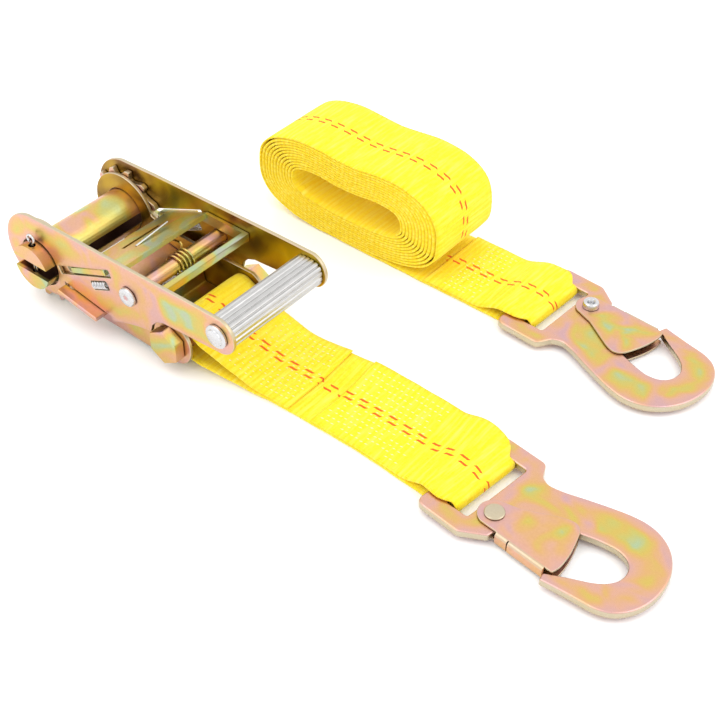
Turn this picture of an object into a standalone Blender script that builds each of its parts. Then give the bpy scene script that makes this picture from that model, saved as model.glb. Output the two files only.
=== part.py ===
"""Ratchet tie down: a ratchet buckle with a short sewn strap and a flat snap hook,
and a rolled long strap with a second flat snap hook. Metres, +Z up, resting on z = 0.
+X runs along the straps towards the hooks, +Y across the webbing."""
import bmesh
import bpy
import math
from mathutils import Matrix, Vector

MM = 0.001
GAP = 0.3                    # clearance between touching pieces, mm

# ---- webbing -------------------------------------------------------------
WEB_W, WEB_T = 50.0, 1.3     # webbing width and thickness
WEB_LOW = 0.3 + WEB_T / 2    # centre height of the layer lying on the floor
WEB_TOP = WEB_LOW + WEB_T + GAP

# ---- ratchet, positions from the mandrel axis (x along, z up) --------------
MANDREL = Vector((-166.0, -30.0, 25.2))   # mandrel axis, width centre
FRAME_IN, FRAME_T = 26.5, 2.0
WHEEL_IN, WHEEL_T = 28.8, 3.0
HANDLE_IN, HANDLE_T = 32.1, 2.2
HANDLE_OUT = HANDLE_IN + HANDLE_T
WHEEL_R, WHEEL_ROOT, TEETH, TOOTH_START = 25.0, 20.0, 12, -100.0
MANDREL_R, MANDREL_SLOT, MANDREL_HALF = 13.0, 7.0, 40.8
EAR_R = 22.3
BOLT = (91.2, -9.2)
BOLT_R, BOLT_AF, SPACER_R, FRAME_END_R = 5.0, 18.0, 8.0, 13.2
GRIP = (131.3, 20.4)
TIE = (69.3, 12.5)
TIE_R = 4.2
DRIVE_ANGLE, DRIVE_OFFSET, DRIVE_T = 23.0, -4.2, 3.0
LOCK_ANGLE, LOCK_OFFSET, LOCK_T = -9.0, -3.1, 2.6

# ---- hooks: local frame, origin at the middle of the slot's right edge -----
HOOK_T = 4.2
HOOK_Z = 2.6                 # underside of the hook plate above the floor
GATE_T = 1.1
SLOT_HALF, SLOT_END, BAR_X = 20.5, 1.2, (-22.0, -11.0)
RIVET_AT = (9.2, -11.2)
HOOK_1_AT, HOOK_1_YAW = (106.2, -31.1), -6.3
HOOK_2_AT, HOOK_2_YAW = (58.8, 97.6), -3.2

# ---- strap lines -----------------------------------------------------------
SHORT_LINE = ((-60, -28.9), (-40, -25.4), (-20, -23.0), (0, -22.2), (20, -21.9), (40, -22.2), (60, -23.2))
LONG_Y = 100.5
ROLL_TURNS, ROLL_X, ROLL_A, ROLL_B = 12, -72.6, 64.6, 28.2
ROLL_STEP_A, ROLL_STEP_B, ROLL_POWER, ROLL_DIP, ROLL_RISE = 2.2, 1.5, 2.8, 3.0, 2.0

for old in list(bpy.data.objects):
    bpy.data.objects.remove(old, do_unlink=True)
PARTS = bpy.data.collections.new("ratchet_tie_down")
CUTTERS = bpy.data.collections.new("cutters")
for coll in (PARTS, CUTTERS):
    bpy.context.scene.collection.children.link(coll)

MATERIALS = {}
PALETTE = {
    "zinc": ((0.80, 0.66, 0.42), 1.0, 0.32),
    "zinc_dark": ((0.55, 0.42, 0.22), 1.0, 0.38),
    "steel": ((0.72, 0.72, 0.72), 1.0, 0.3),
    "aluminium": ((0.82, 0.82, 0.83), 1.0, 0.35),
    "webbing": ((0.98, 0.78, 0.03), 0.0, 0.8),
}


def material(key):
    if key not in MATERIALS:
        mat = bpy.data.materials.new(key)
        mat.use_nodes = True
        shader = mat.node_tree.nodes["Principled BSDF"]
        color, metallic, rough = PALETTE[key]
        shader.inputs["Base Color"].default_value = (*color, 1.0)
        shader.inputs["Metallic"].default_value = metallic
        shader.inputs["Roughness"].default_value = rough
        MATERIALS[key] = mat
    return MATERIALS[key]


def add(name, mesh, mat, coll=PARTS):
    mesh.name = name
    ob = bpy.data.objects.new(name, mesh)
    mesh.materials.clear()
    mesh.materials.append(material(mat))
    coll.objects.link(ob)
    if coll is CUTTERS:
        ob.hide_render = True
        ob.display_type = "WIRE"
    return ob


def weld(mesh, dist=1e-6):
    bm = bmesh.new()
    bm.from_mesh(mesh)
    bmesh.ops.remove_doubles(bm, verts=bm.verts, dist=dist)
    bmesh.ops.dissolve_degenerate(bm, edges=bm.edges, dist=1e-7)
    bmesh.ops.recalc_face_normals(bm, faces=bm.faces)
    bm.to_mesh(mesh)
    bm.free()
    return mesh


def from_curve(curve):
    ob = bpy.data.objects.new("tmp", curve)
    bpy.context.scene.collection.objects.link(ob)
    deps = bpy.context.evaluated_depsgraph_get()
    mesh = bpy.data.meshes.new_from_object(ob.evaluated_get(deps))
    bpy.data.objects.remove(ob, do_unlink=True)
    return weld(mesh)


def prism_mesh(loops, depth, xf):
    """Extrude closed outlines (the first is the outside) by depth mm about their plane."""
    curve = bpy.data.curves.new("outline", "CURVE")
    curve.dimensions = "2D"
    curve.fill_mode = "BOTH"
    curve.extrude = depth * MM / 2
    for loop in loops:
        spline = curve.splines.new("POLY")
        spline.points.add(len(loop) - 1)
        for pt, (u, v) in zip(spline.points, loop):
            pt.co = (u * MM, v * MM, 0, 1)
        spline.use_cyclic_u = True
    mesh = from_curve(curve)
    mesh.transform(xf)
    return weld(mesh)


def side_frame(x, y, z):
    """Outline plane (u, v) -> world (X, Z); extrusion along Y."""
    return Matrix.Translation(Vector((x, y, z)) * MM) @ Matrix.Rotation(math.pi / 2, 4, "X")


def in_ratchet(y):
    return side_frame(MANDREL.x, MANDREL.y + y, MANDREL.z)


def boolean(ob, other, op):
    mod = ob.modifiers.new(op, "BOOLEAN")
    mod.operation = op
    mod.solver = "EXACT"
    mod.object = other
    deps = bpy.context.evaluated_depsgraph_get()
    mesh = bpy.data.meshes.new_from_object(ob.evaluated_get(deps))
    ob.modifiers.clear()
    old = ob.data
    mats = list(old.materials)
    ob.data = weld(mesh)
    mesh.materials.clear()
    for mat in mats:
        mesh.materials.append(mat)
    bpy.data.meshes.remove(old)


def arc(cx, cz, r, a0, a1, n):
    out = []
    for i in range(n + 1):
        a = math.radians(a0 + (a1 - a0) * i / n)
        out.append((cx + r * math.cos(a), cz + r * math.sin(a)))
    return out


def circle(cx, cz, r, n=32):
    return arc(cx, cz, r, 0, 360 * (n - 1) / n, n - 1)


def slab(origin, angle, a0, a1, b0, b1):
    """Rectangle a0..a1 along the angle, b0..b1 across it, from origin."""
    c, s = math.cos(math.radians(angle)), math.sin(math.radians(angle))
    return [(origin[0] + c * a - s * b, origin[1] + s * a + c * b)
            for a, b in ((a0, b0), (a1, b0), (a1, b1), (a0, b1))]


def rounded(points, radius, n=4):
    """Round every corner of a closed outline; radius is one value or one per corner."""
    out = []
    count = len(points)
    for i, p in enumerate(points):
        r = radius[i] if isinstance(radius, (list, tuple)) else radius
        here = Vector(p)
        a = Vector(points[i - 1]) - here
        b = Vector(points[(i + 1) % count]) - here
        if r <= 0 or a.length < 1e-6 or b.length < 1e-6:
            out.append(tuple(here))
            continue
        half = a.angle(b) / 2
        cut = min(r / math.tan(half), a.length * 0.48, b.length * 0.48)
        p0, p1 = here + a.normalized() * cut, here + b.normalized() * cut
        for k in range(n + 1):
            t = k / n
            q = p0 * (1 - t) ** 2 + here * 2 * t * (1 - t) + p1 * t * t
            out.append((q.x, q.y))
    return out


def lathe(name, profile, at, mat, steps=28):
    """Turn (radius, y) points about an axis along Y through at (world mm)."""
    mesh = bpy.data.meshes.new(name)
    edges = [(i, i + 1) for i in range(len(profile) - 1)]
    if profile[0][0] > 0:
        edges.append((len(profile) - 1, 0))
    mesh.from_pydata([(r * MM, y * MM, 0) for r, y in profile], edges, [])
    turned = bpy.data.objects.new("tmp", mesh)
    bpy.context.scene.collection.objects.link(turned)
    screw = turned.modifiers.new("turn", "SCREW")
    screw.axis = "Y"
    screw.steps = screw.render_steps = steps
    screw.use_merge_vertices = True
    screw.merge_threshold = 1e-6
    deps = bpy.context.evaluated_depsgraph_get()
    solid = bpy.data.meshes.new_from_object(turned.evaluated_get(deps))
    bpy.data.objects.remove(turned, do_unlink=True)
    solid.transform(Matrix.Translation(Vector(at) * MM))
    return add(name, weld(solid), mat)


def ribbon(name, samples, mat):
    """Webbing: samples of (x, z, half width, centre y, skew degrees)."""
    verts, faces = [], []
    count = len(samples)
    for i, (x, z, half, cy, skew) in enumerate(samples):
        x0, z0 = samples[max(i - 1, 0)][:2]
        x1, z1 = samples[min(i + 1, count - 1)][:2]
        tangent = Vector((x1 - x0, z1 - z0)).normalized()
        nx, nz = -tangent.y, tangent.x
        sx, sy = math.sin(math.radians(skew)), math.cos(math.radians(skew))
        for side in (1, -1):
            for v in (-half, half):
                verts.append(((x + side * nx * WEB_T / 2 + v * sx) * MM, (cy + v * sy) * MM,
                              (z + side * nz * WEB_T / 2) * MM))
        if i:
            a, b = 4 * (i - 1), 4 * i
            for p, q in ((0, 1), (1, 3), (3, 2), (2, 0)):
                faces.append((a + p, a + q, b + q, b + p))
    faces.append((0, 2, 3, 1))
    e = 4 * (count - 1)
    faces.append((e, e + 1, e + 3, e + 2))
    mesh = bpy.data.meshes.new(name)
    mesh.from_pydata(verts, [], faces)
    return add(name, weld(mesh), mat)


def wire(name, points, radius, mat, coll=PARTS, resolution=2):
    curve = bpy.data.curves.new(name, "CURVE")
    curve.dimensions = "3D"
    curve.bevel_depth = radius * MM
    curve.bevel_resolution = resolution
    curve.use_fill_caps = True
    spline = curve.splines.new("POLY")
    spline.points.add(len(points) - 1)
    for pt, co in zip(spline.points, points):
        pt.co = (*(Vector(co) * MM), 1)
    return add(name, from_curve(curve), mat, coll)


def coil(centre, axis, side, radius, length, turns, per_turn=10):
    """Helix points (mm) along a unit axis; side is any unit vector across it."""
    axis, side = Vector(axis), Vector(side)
    other = axis.cross(side)
    out = []
    total = int(turns * per_turn)
    for i in range(total + 1):
        a = 2 * math.pi * i / per_turn
        out.append(Vector(centre) + axis * (length * (i / total - 0.5))
                   + (side * math.cos(a) + other * math.sin(a)) * radius)
    return out


def box_mesh(x0, x1, y0, y1, z0, z1):
    bm = bmesh.new()
    middle = Vector((x0 + x1, y0 + y1, z0 + z1)) * MM / 2
    size = Matrix.Diagonal((*(Vector((x1 - x0, y1 - y0, z1 - z0)) * MM), 1))
    bmesh.ops.create_cube(bm, size=1.0, matrix=Matrix.Translation(middle) @ size)
    mesh = bpy.data.meshes.new("box")
    bm.to_mesh(mesh)
    bm.free()
    return mesh


# ---- ratchet frame -----------------------------------------------------------
def line_point(angle, offset, along):
    c, s = math.cos(math.radians(angle)), math.sin(math.radians(angle))
    return (c * along, offset + s * along)


drive_base, lock_base = (0.0, DRIVE_OFFSET), (0.0, LOCK_OFFSET)
LOCK_A = (25.2, 48.5)        # along the pawl: tip in the wheel's plane, heel
LOCK_LUG, LOCK_OUT = 19.5, 40.6
DRIVE_A = (27.3, 56.5, 66.0)
lock_slot = slab(lock_base, LOCK_ANGLE, LOCK_A[0] - 0.6, LOCK_A[1] + 4.6,
                 -LOCK_T / 2 - 0.35, LOCK_T / 2 + 0.35)
frame_outline = (
    arc(0, 0, EAR_R, 14, 262, 30)
    + [(30, -21.8), (74, -22.3)]
    + arc(BOLT[0], BOLT[1], FRAME_END_R, 262, 430, 18)
    + [(56, 2.2), (38, 2.2), (28, 3.4)])
frame_holes = [circle(0, 0, MANDREL_R + 0.4), circle(BOLT[0], BOLT[1], BOLT_R + 0.3, 20), lock_slot]
for side, tag in ((-1, "near"), (1, "far")):
    mesh = prism_mesh([frame_outline] + frame_holes, FRAME_T,
                      in_ratchet(side * (FRAME_IN + FRAME_T / 2)))
    add("frame_plate_" + tag, mesh, "zinc")

BASE_HALF = FRAME_IN - GAP
base_profile = rounded([(53, -21.0), (79, -21.4), (79, -19.4), (61, -19.1), (59.4, -12.0),
                        (57.2, -12.2), (57.6, -19.0), (53, -19.0)], 0.8, 2)
add("frame_base_plate", prism_mesh([base_profile], 2 * BASE_HALF, in_ratchet(0)), "zinc_dark")

bolt_at = (MANDREL.x + BOLT[0], MANDREL.y, MANDREL.z + BOLT[1])
head_in = FRAME_IN + FRAME_T + GAP
hexagon = [(BOLT[0] + BOLT_AF / math.sqrt(3) * math.cos(math.radians(90 + 60 * k)),
            BOLT[1] + BOLT_AF / math.sqrt(3) * math.sin(math.radians(90 + 60 * k))) for k in range(6)]
HEAD_T, NUT_T = 6.4, 8.0
bolt = add("anchor_bolt", prism_mesh([hexagon], HEAD_T, in_ratchet(-head_in - HEAD_T / 2)), "zinc")
shank = lathe("bolt_shank", [(0, -head_in - 1), (BOLT_R, -head_in - 1), (BOLT_R, head_in + NUT_T + 1.4),
                             (BOLT_R - 0.8, head_in + NUT_T + 2.4), (0, head_in + NUT_T + 2.4)],
              bolt_at, "zinc", 24)
boolean(bolt, shank, "UNION")
bpy.data.objects.remove(shank, do_unlink=True)
nut_loops = [hexagon, circle(BOLT[0], BOLT[1], BOLT_R + GAP, 24)]
add("anchor_nut", prism_mesh(nut_loops, NUT_T, in_ratchet(head_in + NUT_T / 2)), "zinc")
lathe("anchor_spacer", [(BOLT_R + 0.3, -BASE_HALF), (SPACER_R, -BASE_HALF), (SPACER_R, BASE_HALF),
                        (BOLT_R + 0.3, BASE_HALF)], bolt_at, "zinc_dark")

# ---- mandrel and ratchet wheels ----------------------------------------------
half_angle = math.degrees(math.asin(MANDREL_SLOT / 2 / MANDREL_R))
PIN_Y = HANDLE_OUT + 3.2
for sign, tag in ((1, "upper"), (-1, "lower")):
    outline = arc(0, 0, MANDREL_R, sign * half_angle, sign * (180 - half_angle), 20)
    half = add("mandrel_half_" + tag, prism_mesh([outline], 2 * MANDREL_HALF, in_ratchet(0)), "zinc")
    for side in (-1, 1):
        drill = wire("pin_drill", [(MANDREL.x, MANDREL.y + side * PIN_Y, MANDREL.z + h)
                                   for h in (-20, 20)], 2.1, "steel", CUTTERS, 3)
        boolean(half, drill, "DIFFERENCE")
        bpy.data.objects.remove(drill, do_unlink=True)

tooth = ((WHEEL_R, 0.0), (WHEEL_R - 0.5, 7.5), (WHEEL_ROOT + 1.2, 16.5), (WHEEL_ROOT, 24.0),
         (WHEEL_ROOT, 28.6))
wheel_outline = [(r * math.cos(math.radians(TOOTH_START + 30 * k + a)),
                  r * math.sin(math.radians(TOOTH_START + 30 * k + a)))
                 for k in range(TEETH) for r, a in tooth]
for side, tag in ((-1, "near"), (1, "far")):
    mesh = prism_mesh([wheel_outline, circle(0, 0, MANDREL_R + GAP)], WHEEL_T,
                      in_ratchet(side * (WHEEL_IN + WHEEL_T / 2)))
    add("ratchet_wheel_" + tag, mesh, "zinc")
    eye = [(0.95, -15.6), (0.95, 14.6)] + arc(0, 16.9, 2.5, -68, 248, 12) + [(-0.95, 14.6), (-0.95, -15.0)]
    points = [(MANDREL.x + u, MANDREL.y + side * PIN_Y, MANDREL.z + v) for u, v in eye]
    wire("split_pin_" + tag, points, 0.78, "steel", resolution=1)

# ---- handle --------------------------------------------------------------------
lock_top = [(u, LOCK_OFFSET + u * math.tan(math.radians(LOCK_ANGLE)) + LOCK_T / 2 + 0.5)
            for u in (18.6, 53.2)]
handle_outline = (
    arc(-1.5, 4.6, 23.4, 97, 262, 24)
    + [(5, -18.4), (11, -17.2), (15.6, -13.6), (18.0, -9.0)] + lock_top
    + [(53.9, -12.4), (57.5, -10.9), (62, -8.8), (73, -5.4), (83.2, -3.0), (84.6, 1.6), (88, 5.2), (93, 7.2),
       (100, 7.6), (116, 8.8)]
    + arc(GRIP[0], GRIP[1], 10.6, 266, 438, 14)
    + [(110, 30.6), (70, 29.8), (20, 28.8)])
drive_slot = rounded(slab(drive_base, DRIVE_ANGLE, 17.4, DRIVE_A[1] + 4.8, -2.35, 2.35), [0.5, 1, 1, 0.5], 2)
SPRING_AT, SPRING_ANGLE = (47.5, 8.0), 25.0
spring_window = rounded(slab(SPRING_AT, SPRING_ANGLE, -7.0, 7.0, -2.6, 2.6), 1.0, 2)
handle_holes = [circle(0, 0, 14.0, 36), drive_slot, circle(TIE[0], TIE[1], TIE_R + GAP, 24),
                circle(GRIP[0], GRIP[1], 4.3, 24), spring_window]
for side, tag in ((-1, "near"), (1, "far")):
    mesh = prism_mesh([handle_outline] + handle_holes, HANDLE_T,
                      in_ratchet(side * (HANDLE_IN + HANDLE_T / 2)))
    add("handle_plate_" + tag, mesh, "zinc")

HEAD_AT = HANDLE_OUT + GAP


def riveted_rod(name, at, r, head_r, head_h, mat):
    ends = [(0, HEAD_AT + head_h), (head_r * 0.55, HEAD_AT + head_h), (head_r, HEAD_AT + head_h * 0.35),
            (head_r, HEAD_AT), (r, HEAD_AT)]
    profile = [(p, -y) for p, y in ends] + [(p, y) for p, y in reversed(ends)]
    centre = (MANDREL.x + at[0], MANDREL.y, MANDREL.z + at[1])
    return lathe(name, profile, centre, mat, 24)


riveted_rod("handle_tie_rod", TIE, TIE_R, 5.2, 1.8, "zinc")
riveted_rod("grip_rivet", GRIP, 4.0, 6.5, 2.6, "steel")

grip_profile = []
FLUTES = 14
for k in range(FLUTES * 4):
    a = 2 * math.pi * k / (FLUTES * 4)
    c, s = math.cos(a), math.sin(a)
    body = (abs(c / 9.0) ** 2.8 + abs(s / 7.6) ** 2.8) ** (-1 / 2.8)
    r = body - (0.7 if k % 4 in (2, 3) else 0.0)
    grip_profile.append((GRIP[0] + r * c, GRIP[1] + r * s))
add("grip_bar", prism_mesh([grip_profile, circle(GRIP[0], GRIP[1], 4.3, 24)],
                           2 * (HANDLE_IN - GAP), in_ratchet(0)), "aluminium")

# ---- pawls ---------------------------------------------------------------------
DRIVE_OUT, WING, BAR_END, FLANGE_LOW = 33.6, HANDLE_IN - 0.4, 90.5, 17.4
knee = line_point(DRIVE_ANGLE, DRIVE_OFFSET, DRIVE_A[2])
drive_pawl = add("drive_pawl", prism_mesh([slab(drive_base, DRIVE_ANGLE, 34.0, DRIVE_A[2] + 1.0,
                                                -DRIVE_T / 2 + 0.6, DRIVE_T / 2)], 2 * WING,
                                          in_ratchet(0)), "zinc")
top_z = knee[1] + 2.0
solids = []
for side in (-1, 1):
    mid = side * (DRIVE_OUT + WHEEL_IN) / 2
    solids.append(prism_mesh([slab(drive_base, DRIVE_ANGLE, DRIVE_A[0], DRIVE_A[1], -DRIVE_T / 2, DRIVE_T / 2)],
                             DRIVE_OUT - WHEEL_IN, in_ratchet(mid)))
    flange = rounded([(56.5, 18.4), (58.5, FLANGE_LOW), (BAR_END, FLANGE_LOW), (BAR_END, top_z),
                      (knee[0], top_z), (57.0, 20.2)], [0, 1.5, 2.5, 0.8, 0, 0], 3)
    solids.append(prism_mesh([flange], 1.8, in_ratchet(side * (WING - 0.9))))
solids.append(prism_mesh([rounded([(BAR_END - 3.6, top_z - 4.6), (BAR_END, top_z - 4.6), (BAR_END, top_z),
                                   (BAR_END - 3.6, top_z)], 0.6, 2)], 2 * WING - 0.4, in_ratchet(0)))
for solid in solids:
    other = add("pawl_part", solid, "zinc", CUTTERS)
    boolean(drive_pawl, other, "UNION")
    bpy.data.objects.remove(other, do_unlink=True)
slit = add("slit", box_mesh(MANDREL.x + 39.6, MANDREL.x + 41.8, MANDREL.y - 11, MANDREL.y + 15,
                            MANDREL.z, MANDREL.z + 24), "zinc", CUTTERS)
boolean(drive_pawl, slit, "DIFFERENCE")
bpy.data.objects.remove(slit, do_unlink=True)

lock_pawl = add("lock_pawl", prism_mesh([slab(lock_base, LOCK_ANGLE, LOCK_A[0] + 6, LOCK_A[1],
                                              -LOCK_T / 2, LOCK_T / 2)], 50.0, in_ratchet(0)), "zinc")
for side in (-1, 1):
    for start, y0, y1 in ((LOCK_A[0], 23.4, HANDLE_OUT + 1.0), (LOCK_LUG, HANDLE_OUT + 0.4, LOCK_OUT)):
        ear = slab(lock_base, LOCK_ANGLE, start, LOCK_A[1], -LOCK_T / 2, LOCK_T / 2)
        other = add("lock_ear", prism_mesh([ear], y1 - y0, in_ratchet(side * (y0 + y1) / 2)), "zinc", CUTTERS)
        boolean(lock_pawl, other, "UNION")
        bpy.data.objects.remove(other, do_unlink=True)

# ---- springs of the ratchet ------------------------------------------------------
spring_dir = (math.cos(math.radians(SPRING_ANGLE)), 0.0, math.sin(math.radians(SPRING_ANGLE)))
for side, tag in ((-1, "near"), (1, "far")):
    centre = (MANDREL.x + SPRING_AT[0], MANDREL.y + side * (HANDLE_IN + 1.1), MANDREL.z + SPRING_AT[1])
    wire("pawl_spring_" + tag, coil(centre, spring_dir, (0, 1, 0), 1.9, 11.6, 5, 9), 0.5, "steel",
         resolution=0)
tie_centre = (MANDREL.x + TIE[0], MANDREL.y + 3.0, MANDREL.z + TIE[1])
turns = coil(tie_centre, (0, 1, 0), (1, 0, 0), TIE_R + 1.2, 13.0, 5, 12)
wire("tie_rod_spring", turns[:-5] + [turns[-5] + Vector((-3.0, 0.4, 1.4)),
                                     turns[-5] + Vector((-13.0, 0.4, -1.6))], 0.7, "zinc_dark", resolution=1)
lock_dir = (math.cos(math.radians(LOCK_ANGLE)), 0.0, math.sin(math.radians(LOCK_ANGLE)))
lock_end = line_point(LOCK_ANGLE, LOCK_OFFSET, LOCK_A[1] + 4.1)
wire("lock_pawl_spring", coil((MANDREL.x + lock_end[0], MANDREL.y, MANDREL.z + lock_end[1] + 3.0),
                              lock_dir, (0, 1, 0), 2.6, 6.2, 4, 9), 0.5, "steel", resolution=0)

# ---- flat snap hooks ----------------------------------------------------------------
hook_corners = (                    # (u, v, corner radius)
    (-22, 30.5, 5), (4.9, 30.4, 4), (9.4, 22.7, 3), (14.2, 20.5, 0), (22, 22.4, 0), (31, 26.0, 0),
    (42, 30.0, 0), (52, 33.2, 0), (60, 34.6, 0), (67, 34.0, 0), (74, 31.4, 0), (80, 26.8, 0),
    (85, 20.0, 0), (88, 12.0, 0), (89.2, 3.0, 0), (88.4, -5.0, 0), (85.6, -12.0, 0), (81, -17.6, 0),
    (74.5, -20.8, 0), (62, -22.6, 0), (51, -24.6, 0), (47.4, -25.3, 1), (46.0, -21.0, 1.5),
    (50.0, -18.4, 0), (57.5, -14.0, 0), (64.5, -10.0, 0), (69.2, -6.0, 0), (71.9, -1.2, 0),
    (72.2, 3.6, 0), (70.4, 8.2, 0), (66.4, 11.2, 0), (60.5, 12.3, 0), (52, 10.6, 0), (43, 7.6, 0),
    (34, 3.2, 0), (26, -2.4, 0), (20, -8.4, 0), (16.6, -13.0, 0), (16.2, -18.0, 1.5),
    (15.4, -22.8, 2), (4.0, -30.5, 4), (-22, -30.5, 5))
hook_outline = rounded([c[:2] for c in hook_corners], [c[2] for c in hook_corners], 4)
slot_outline = rounded([(BAR_X[1], -SLOT_HALF), (SLOT_END, -SLOT_HALF), (SLOT_END, SLOT_HALF),
                        (BAR_X[1], SLOT_HALF)], 1.5, 3)
gate_flange = (
    arc(RIVET_AT[0], RIVET_AT[1], 8.0, 118, 262, 9)
    + [(16.4, -19.4), (17.6, -20.2), (48.4, -20.2), (50.0, -19.0), (50.2, -14.5), (48.8, -6.0), (46.0, 2.0),
       (43.6, 7.4), (41.4, 9.8), (38.4, 10.6), (34.5, 9.6), (31.0, 7.8), (15.8, -0.9), (10.0, -3.4)])
RIVET_R, RIVET_HEAD = 2.6, 4.9


def hook(tag, at, yaw, flip):
    """Plate hook, folded gate, rivet and gate spring; flip turns it over about its length."""
    mid = HOOK_Z + HOOK_T / 2
    place = (Matrix.Translation(Vector((at[0], at[1], mid)) * MM)
             @ Matrix.Rotation(math.radians(yaw), 4, "Z")
             @ (Matrix.Rotation(math.pi, 4, "X") if flip else Matrix.Identity(4)))

    def at_height(z):
        return place @ Matrix.Translation(Vector((0, 0, z)) * MM)

    add(f"{tag}_body", prism_mesh([hook_outline, slot_outline, circle(*RIVET_AT, RIVET_R + GAP, 18)],
                                  HOOK_T, at_height(0)), "zinc")
    gap_half = HOOK_T / 2 + GAP
    wall_h = 2 * (gap_half + GATE_T)
    gate = add(f"{tag}_gate", prism_mesh([[(17.6, -20.9), (45.4, -20.9), (45.4, -19.5), (17.6, -19.5)]],
                                         wall_h, at_height(0)), "zinc")
    for sign in (-1, 1):
        flange = prism_mesh([gate_flange, circle(*RIVET_AT, RIVET_R + GAP, 18)], GATE_T,
                            at_height(sign * (gap_half + GATE_T / 2)))
        other = add("flange", flange, "zinc", CUTTERS)
        boolean(gate, other, "UNION")
        bpy.data.objects.remove(other, do_unlink=True)
    z_head = gap_half + GATE_T + GAP
    profile = [(0, z_head + 0.7), (RIVET_HEAD - 0.7, z_head + 0.7), (RIVET_HEAD, z_head + 0.2),
               (RIVET_HEAD, z_head), (RIVET_R, z_head), (RIVET_R, -z_head), (RIVET_HEAD, -z_head),
               (RIVET_HEAD, -z_head - 0.4), (RIVET_HEAD - 1.2, -z_head - 0.9), (1.8, -z_head - 0.7),
               (1.6, -z_head - 0.2), (0, -z_head - 0.2)]
    rivet = lathe(f"{tag}_rivet", profile, (0, 0, 0), "zinc", 20)
    rivet.data.transform(place @ Matrix.Translation(Vector((*RIVET_AT, 0)) * MM)
                         @ Matrix.Rotation(math.pi / 2, 4, "X"))
    weld(rivet.data)
    coil_at = [(23.5 + 2.3 * math.cos(a), -12.0 + 2.3 * math.sin(a), -1.5 + 3.0 * k / 34)
               for k in range(35) for a in [2 * math.pi * k / 11]]
    points = [(18.6, -16.4, -1.5), (20.4, -13.6, -1.5)] + coil_at[2:] + [(33.0, -16.6, 1.5), (38.0, -17.4, 1.5)]
    spring = wire(f"{tag}_spring", points, 0.45, "steel", resolution=0)
    spring.data.transform(place)
    weld(spring.data)


hook("hook_1", HOOK_1_AT, HOOK_1_YAW, False)
hook("hook_2", HOOK_2_AT, HOOK_2_YAW, True)


# ---- straps ---------------------------------------------------------------------------
def smooth(t):
    t = min(max(t, 0.0), 1.0)
    return t * t * (3 - 2 * t)


def short_y(x):
    """Centre line of the short strap: it curves a little sideways between bolt and hook."""
    if x <= SHORT_LINE[0][0]:
        return SHORT_LINE[0][1]
    for (x0, y0), (x1, y1) in zip(SHORT_LINE, SHORT_LINE[1:]):
        if x <= x1:
            return y0 + (y1 - y0) * (x - x0) / (x1 - x0)
    return SHORT_LINE[-1][1] + (x - SHORT_LINE[-1][0]) * -0.09


def hook_loop(at, yaw, strap_y):
    """Returned end at a hook's bar, from the sewn top layer out and back underneath;
    strap_y gives the strap's centre line by x."""
    c = math.cos(math.radians(yaw))
    fold_r = (HOOK_Z + HOOK_T + 0.4 + WEB_T / 2 - WEB_LOW) / 2
    fold_x = at[0] - 5.2 * c - WEB_T / 2 - fold_r
    upper, lower = WEB_LOW + 2 * fold_r, WEB_LOW
    narrow, wide = SLOT_HALF - 0.4, WEB_W / 2

    def section(x, z, t, pinch):
        hook_y = at[1] + (at[0] - x) * math.tan(math.radians(-yaw)) + 2.4 * (1 - pinch)
        return (x, z, wide + (narrow - wide) * pinch, strap_y(x) + (hook_y - strap_y(x)) * t, -yaw * t)

    out = []
    for x in range(-36, 1, 3):
        t = smooth((x + 34) / 18)
        z = WEB_TOP + (upper - WEB_TOP) * t
        out.append(section(fold_x + x, z, smooth((x + 24) / 20), smooth((x + 8) / 7)))
    for k in range(1, 10):
        a = math.pi / 2 - math.pi * k / 10
        out.append(section(fold_x + fold_r * math.cos(a), WEB_LOW + fold_r + fold_r * math.sin(a), 1.0, 1.0))
    for x in (0, -3, -6, -9, -12, -16, -22):
        out.append(section(fold_x + x, lower, smooth((x + 12) / 11), smooth((x + 8) / 7)))
    return out


bx, bz = bolt_at[0], bolt_at[2]
loop_r = SPACER_R + GAP + WEB_T / 2
short = []
top_leave = math.radians(62)
sx, sz = bx + loop_r * math.cos(top_leave), bz + loop_r * math.sin(top_leave)
slope = math.tan(math.radians(28))
meet = sx + (sz - WEB_TOP) / slope


def bent_line(x0, z0, meet_x, meet_z, x1, n):
    """Straight from (x0, z0) to a bend at meet_x, then level to x1, with the bend eased."""
    out = []
    for i in range(n + 1):
        x = x0 + (x1 - x0) * i / n
        d = (meet_x - x) / 6.0
        ease = 6.0 * math.log1p(math.exp(max(min(d, 30), -30))) * abs(meet_z - z0) / (meet_x - x0)
        out.append((x, meet_z + (ease if z0 > meet_z else -ease)))
    return out


upper = bent_line(sx, sz, meet, WEB_TOP, -7.0, 14)
upper[0] = (sx, sz)
for x, z in reversed(upper):
    short.append((x, z, WEB_W / 2, short_y(x), 0.0))
for k in range(1, 17):
    a = math.radians(62 + 200 * k / 16)
    short.append((bx + loop_r * math.cos(a), bz + loop_r * math.sin(a), WEB_W / 2, short_y(bx), 0.0))
lx, lz = short[-1][:2]
low_meet = lx + (lz - WEB_LOW) / math.tan(math.radians(8))
for x, z in bent_line(lx, lz, low_meet, WEB_LOW, low_meet + 22, 8)[1:]:
    short.append((x, z, WEB_W / 2, short_y(x), 0.0))
loop = hook_loop(HOOK_1_AT, HOOK_1_YAW, short_y)
for x in (8.0, 22.0, 36.0, 50.0):
    short.append((x, WEB_LOW, WEB_W / 2, short_y(x), 0.0))
short += list(reversed(loop))
for x in (50.0, 36.0, 22.0, 8.0):
    short.append((x, WEB_TOP, WEB_W / 2, short_y(x), 0.0))
ribbon("short_strap", short, "webbing")

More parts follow.
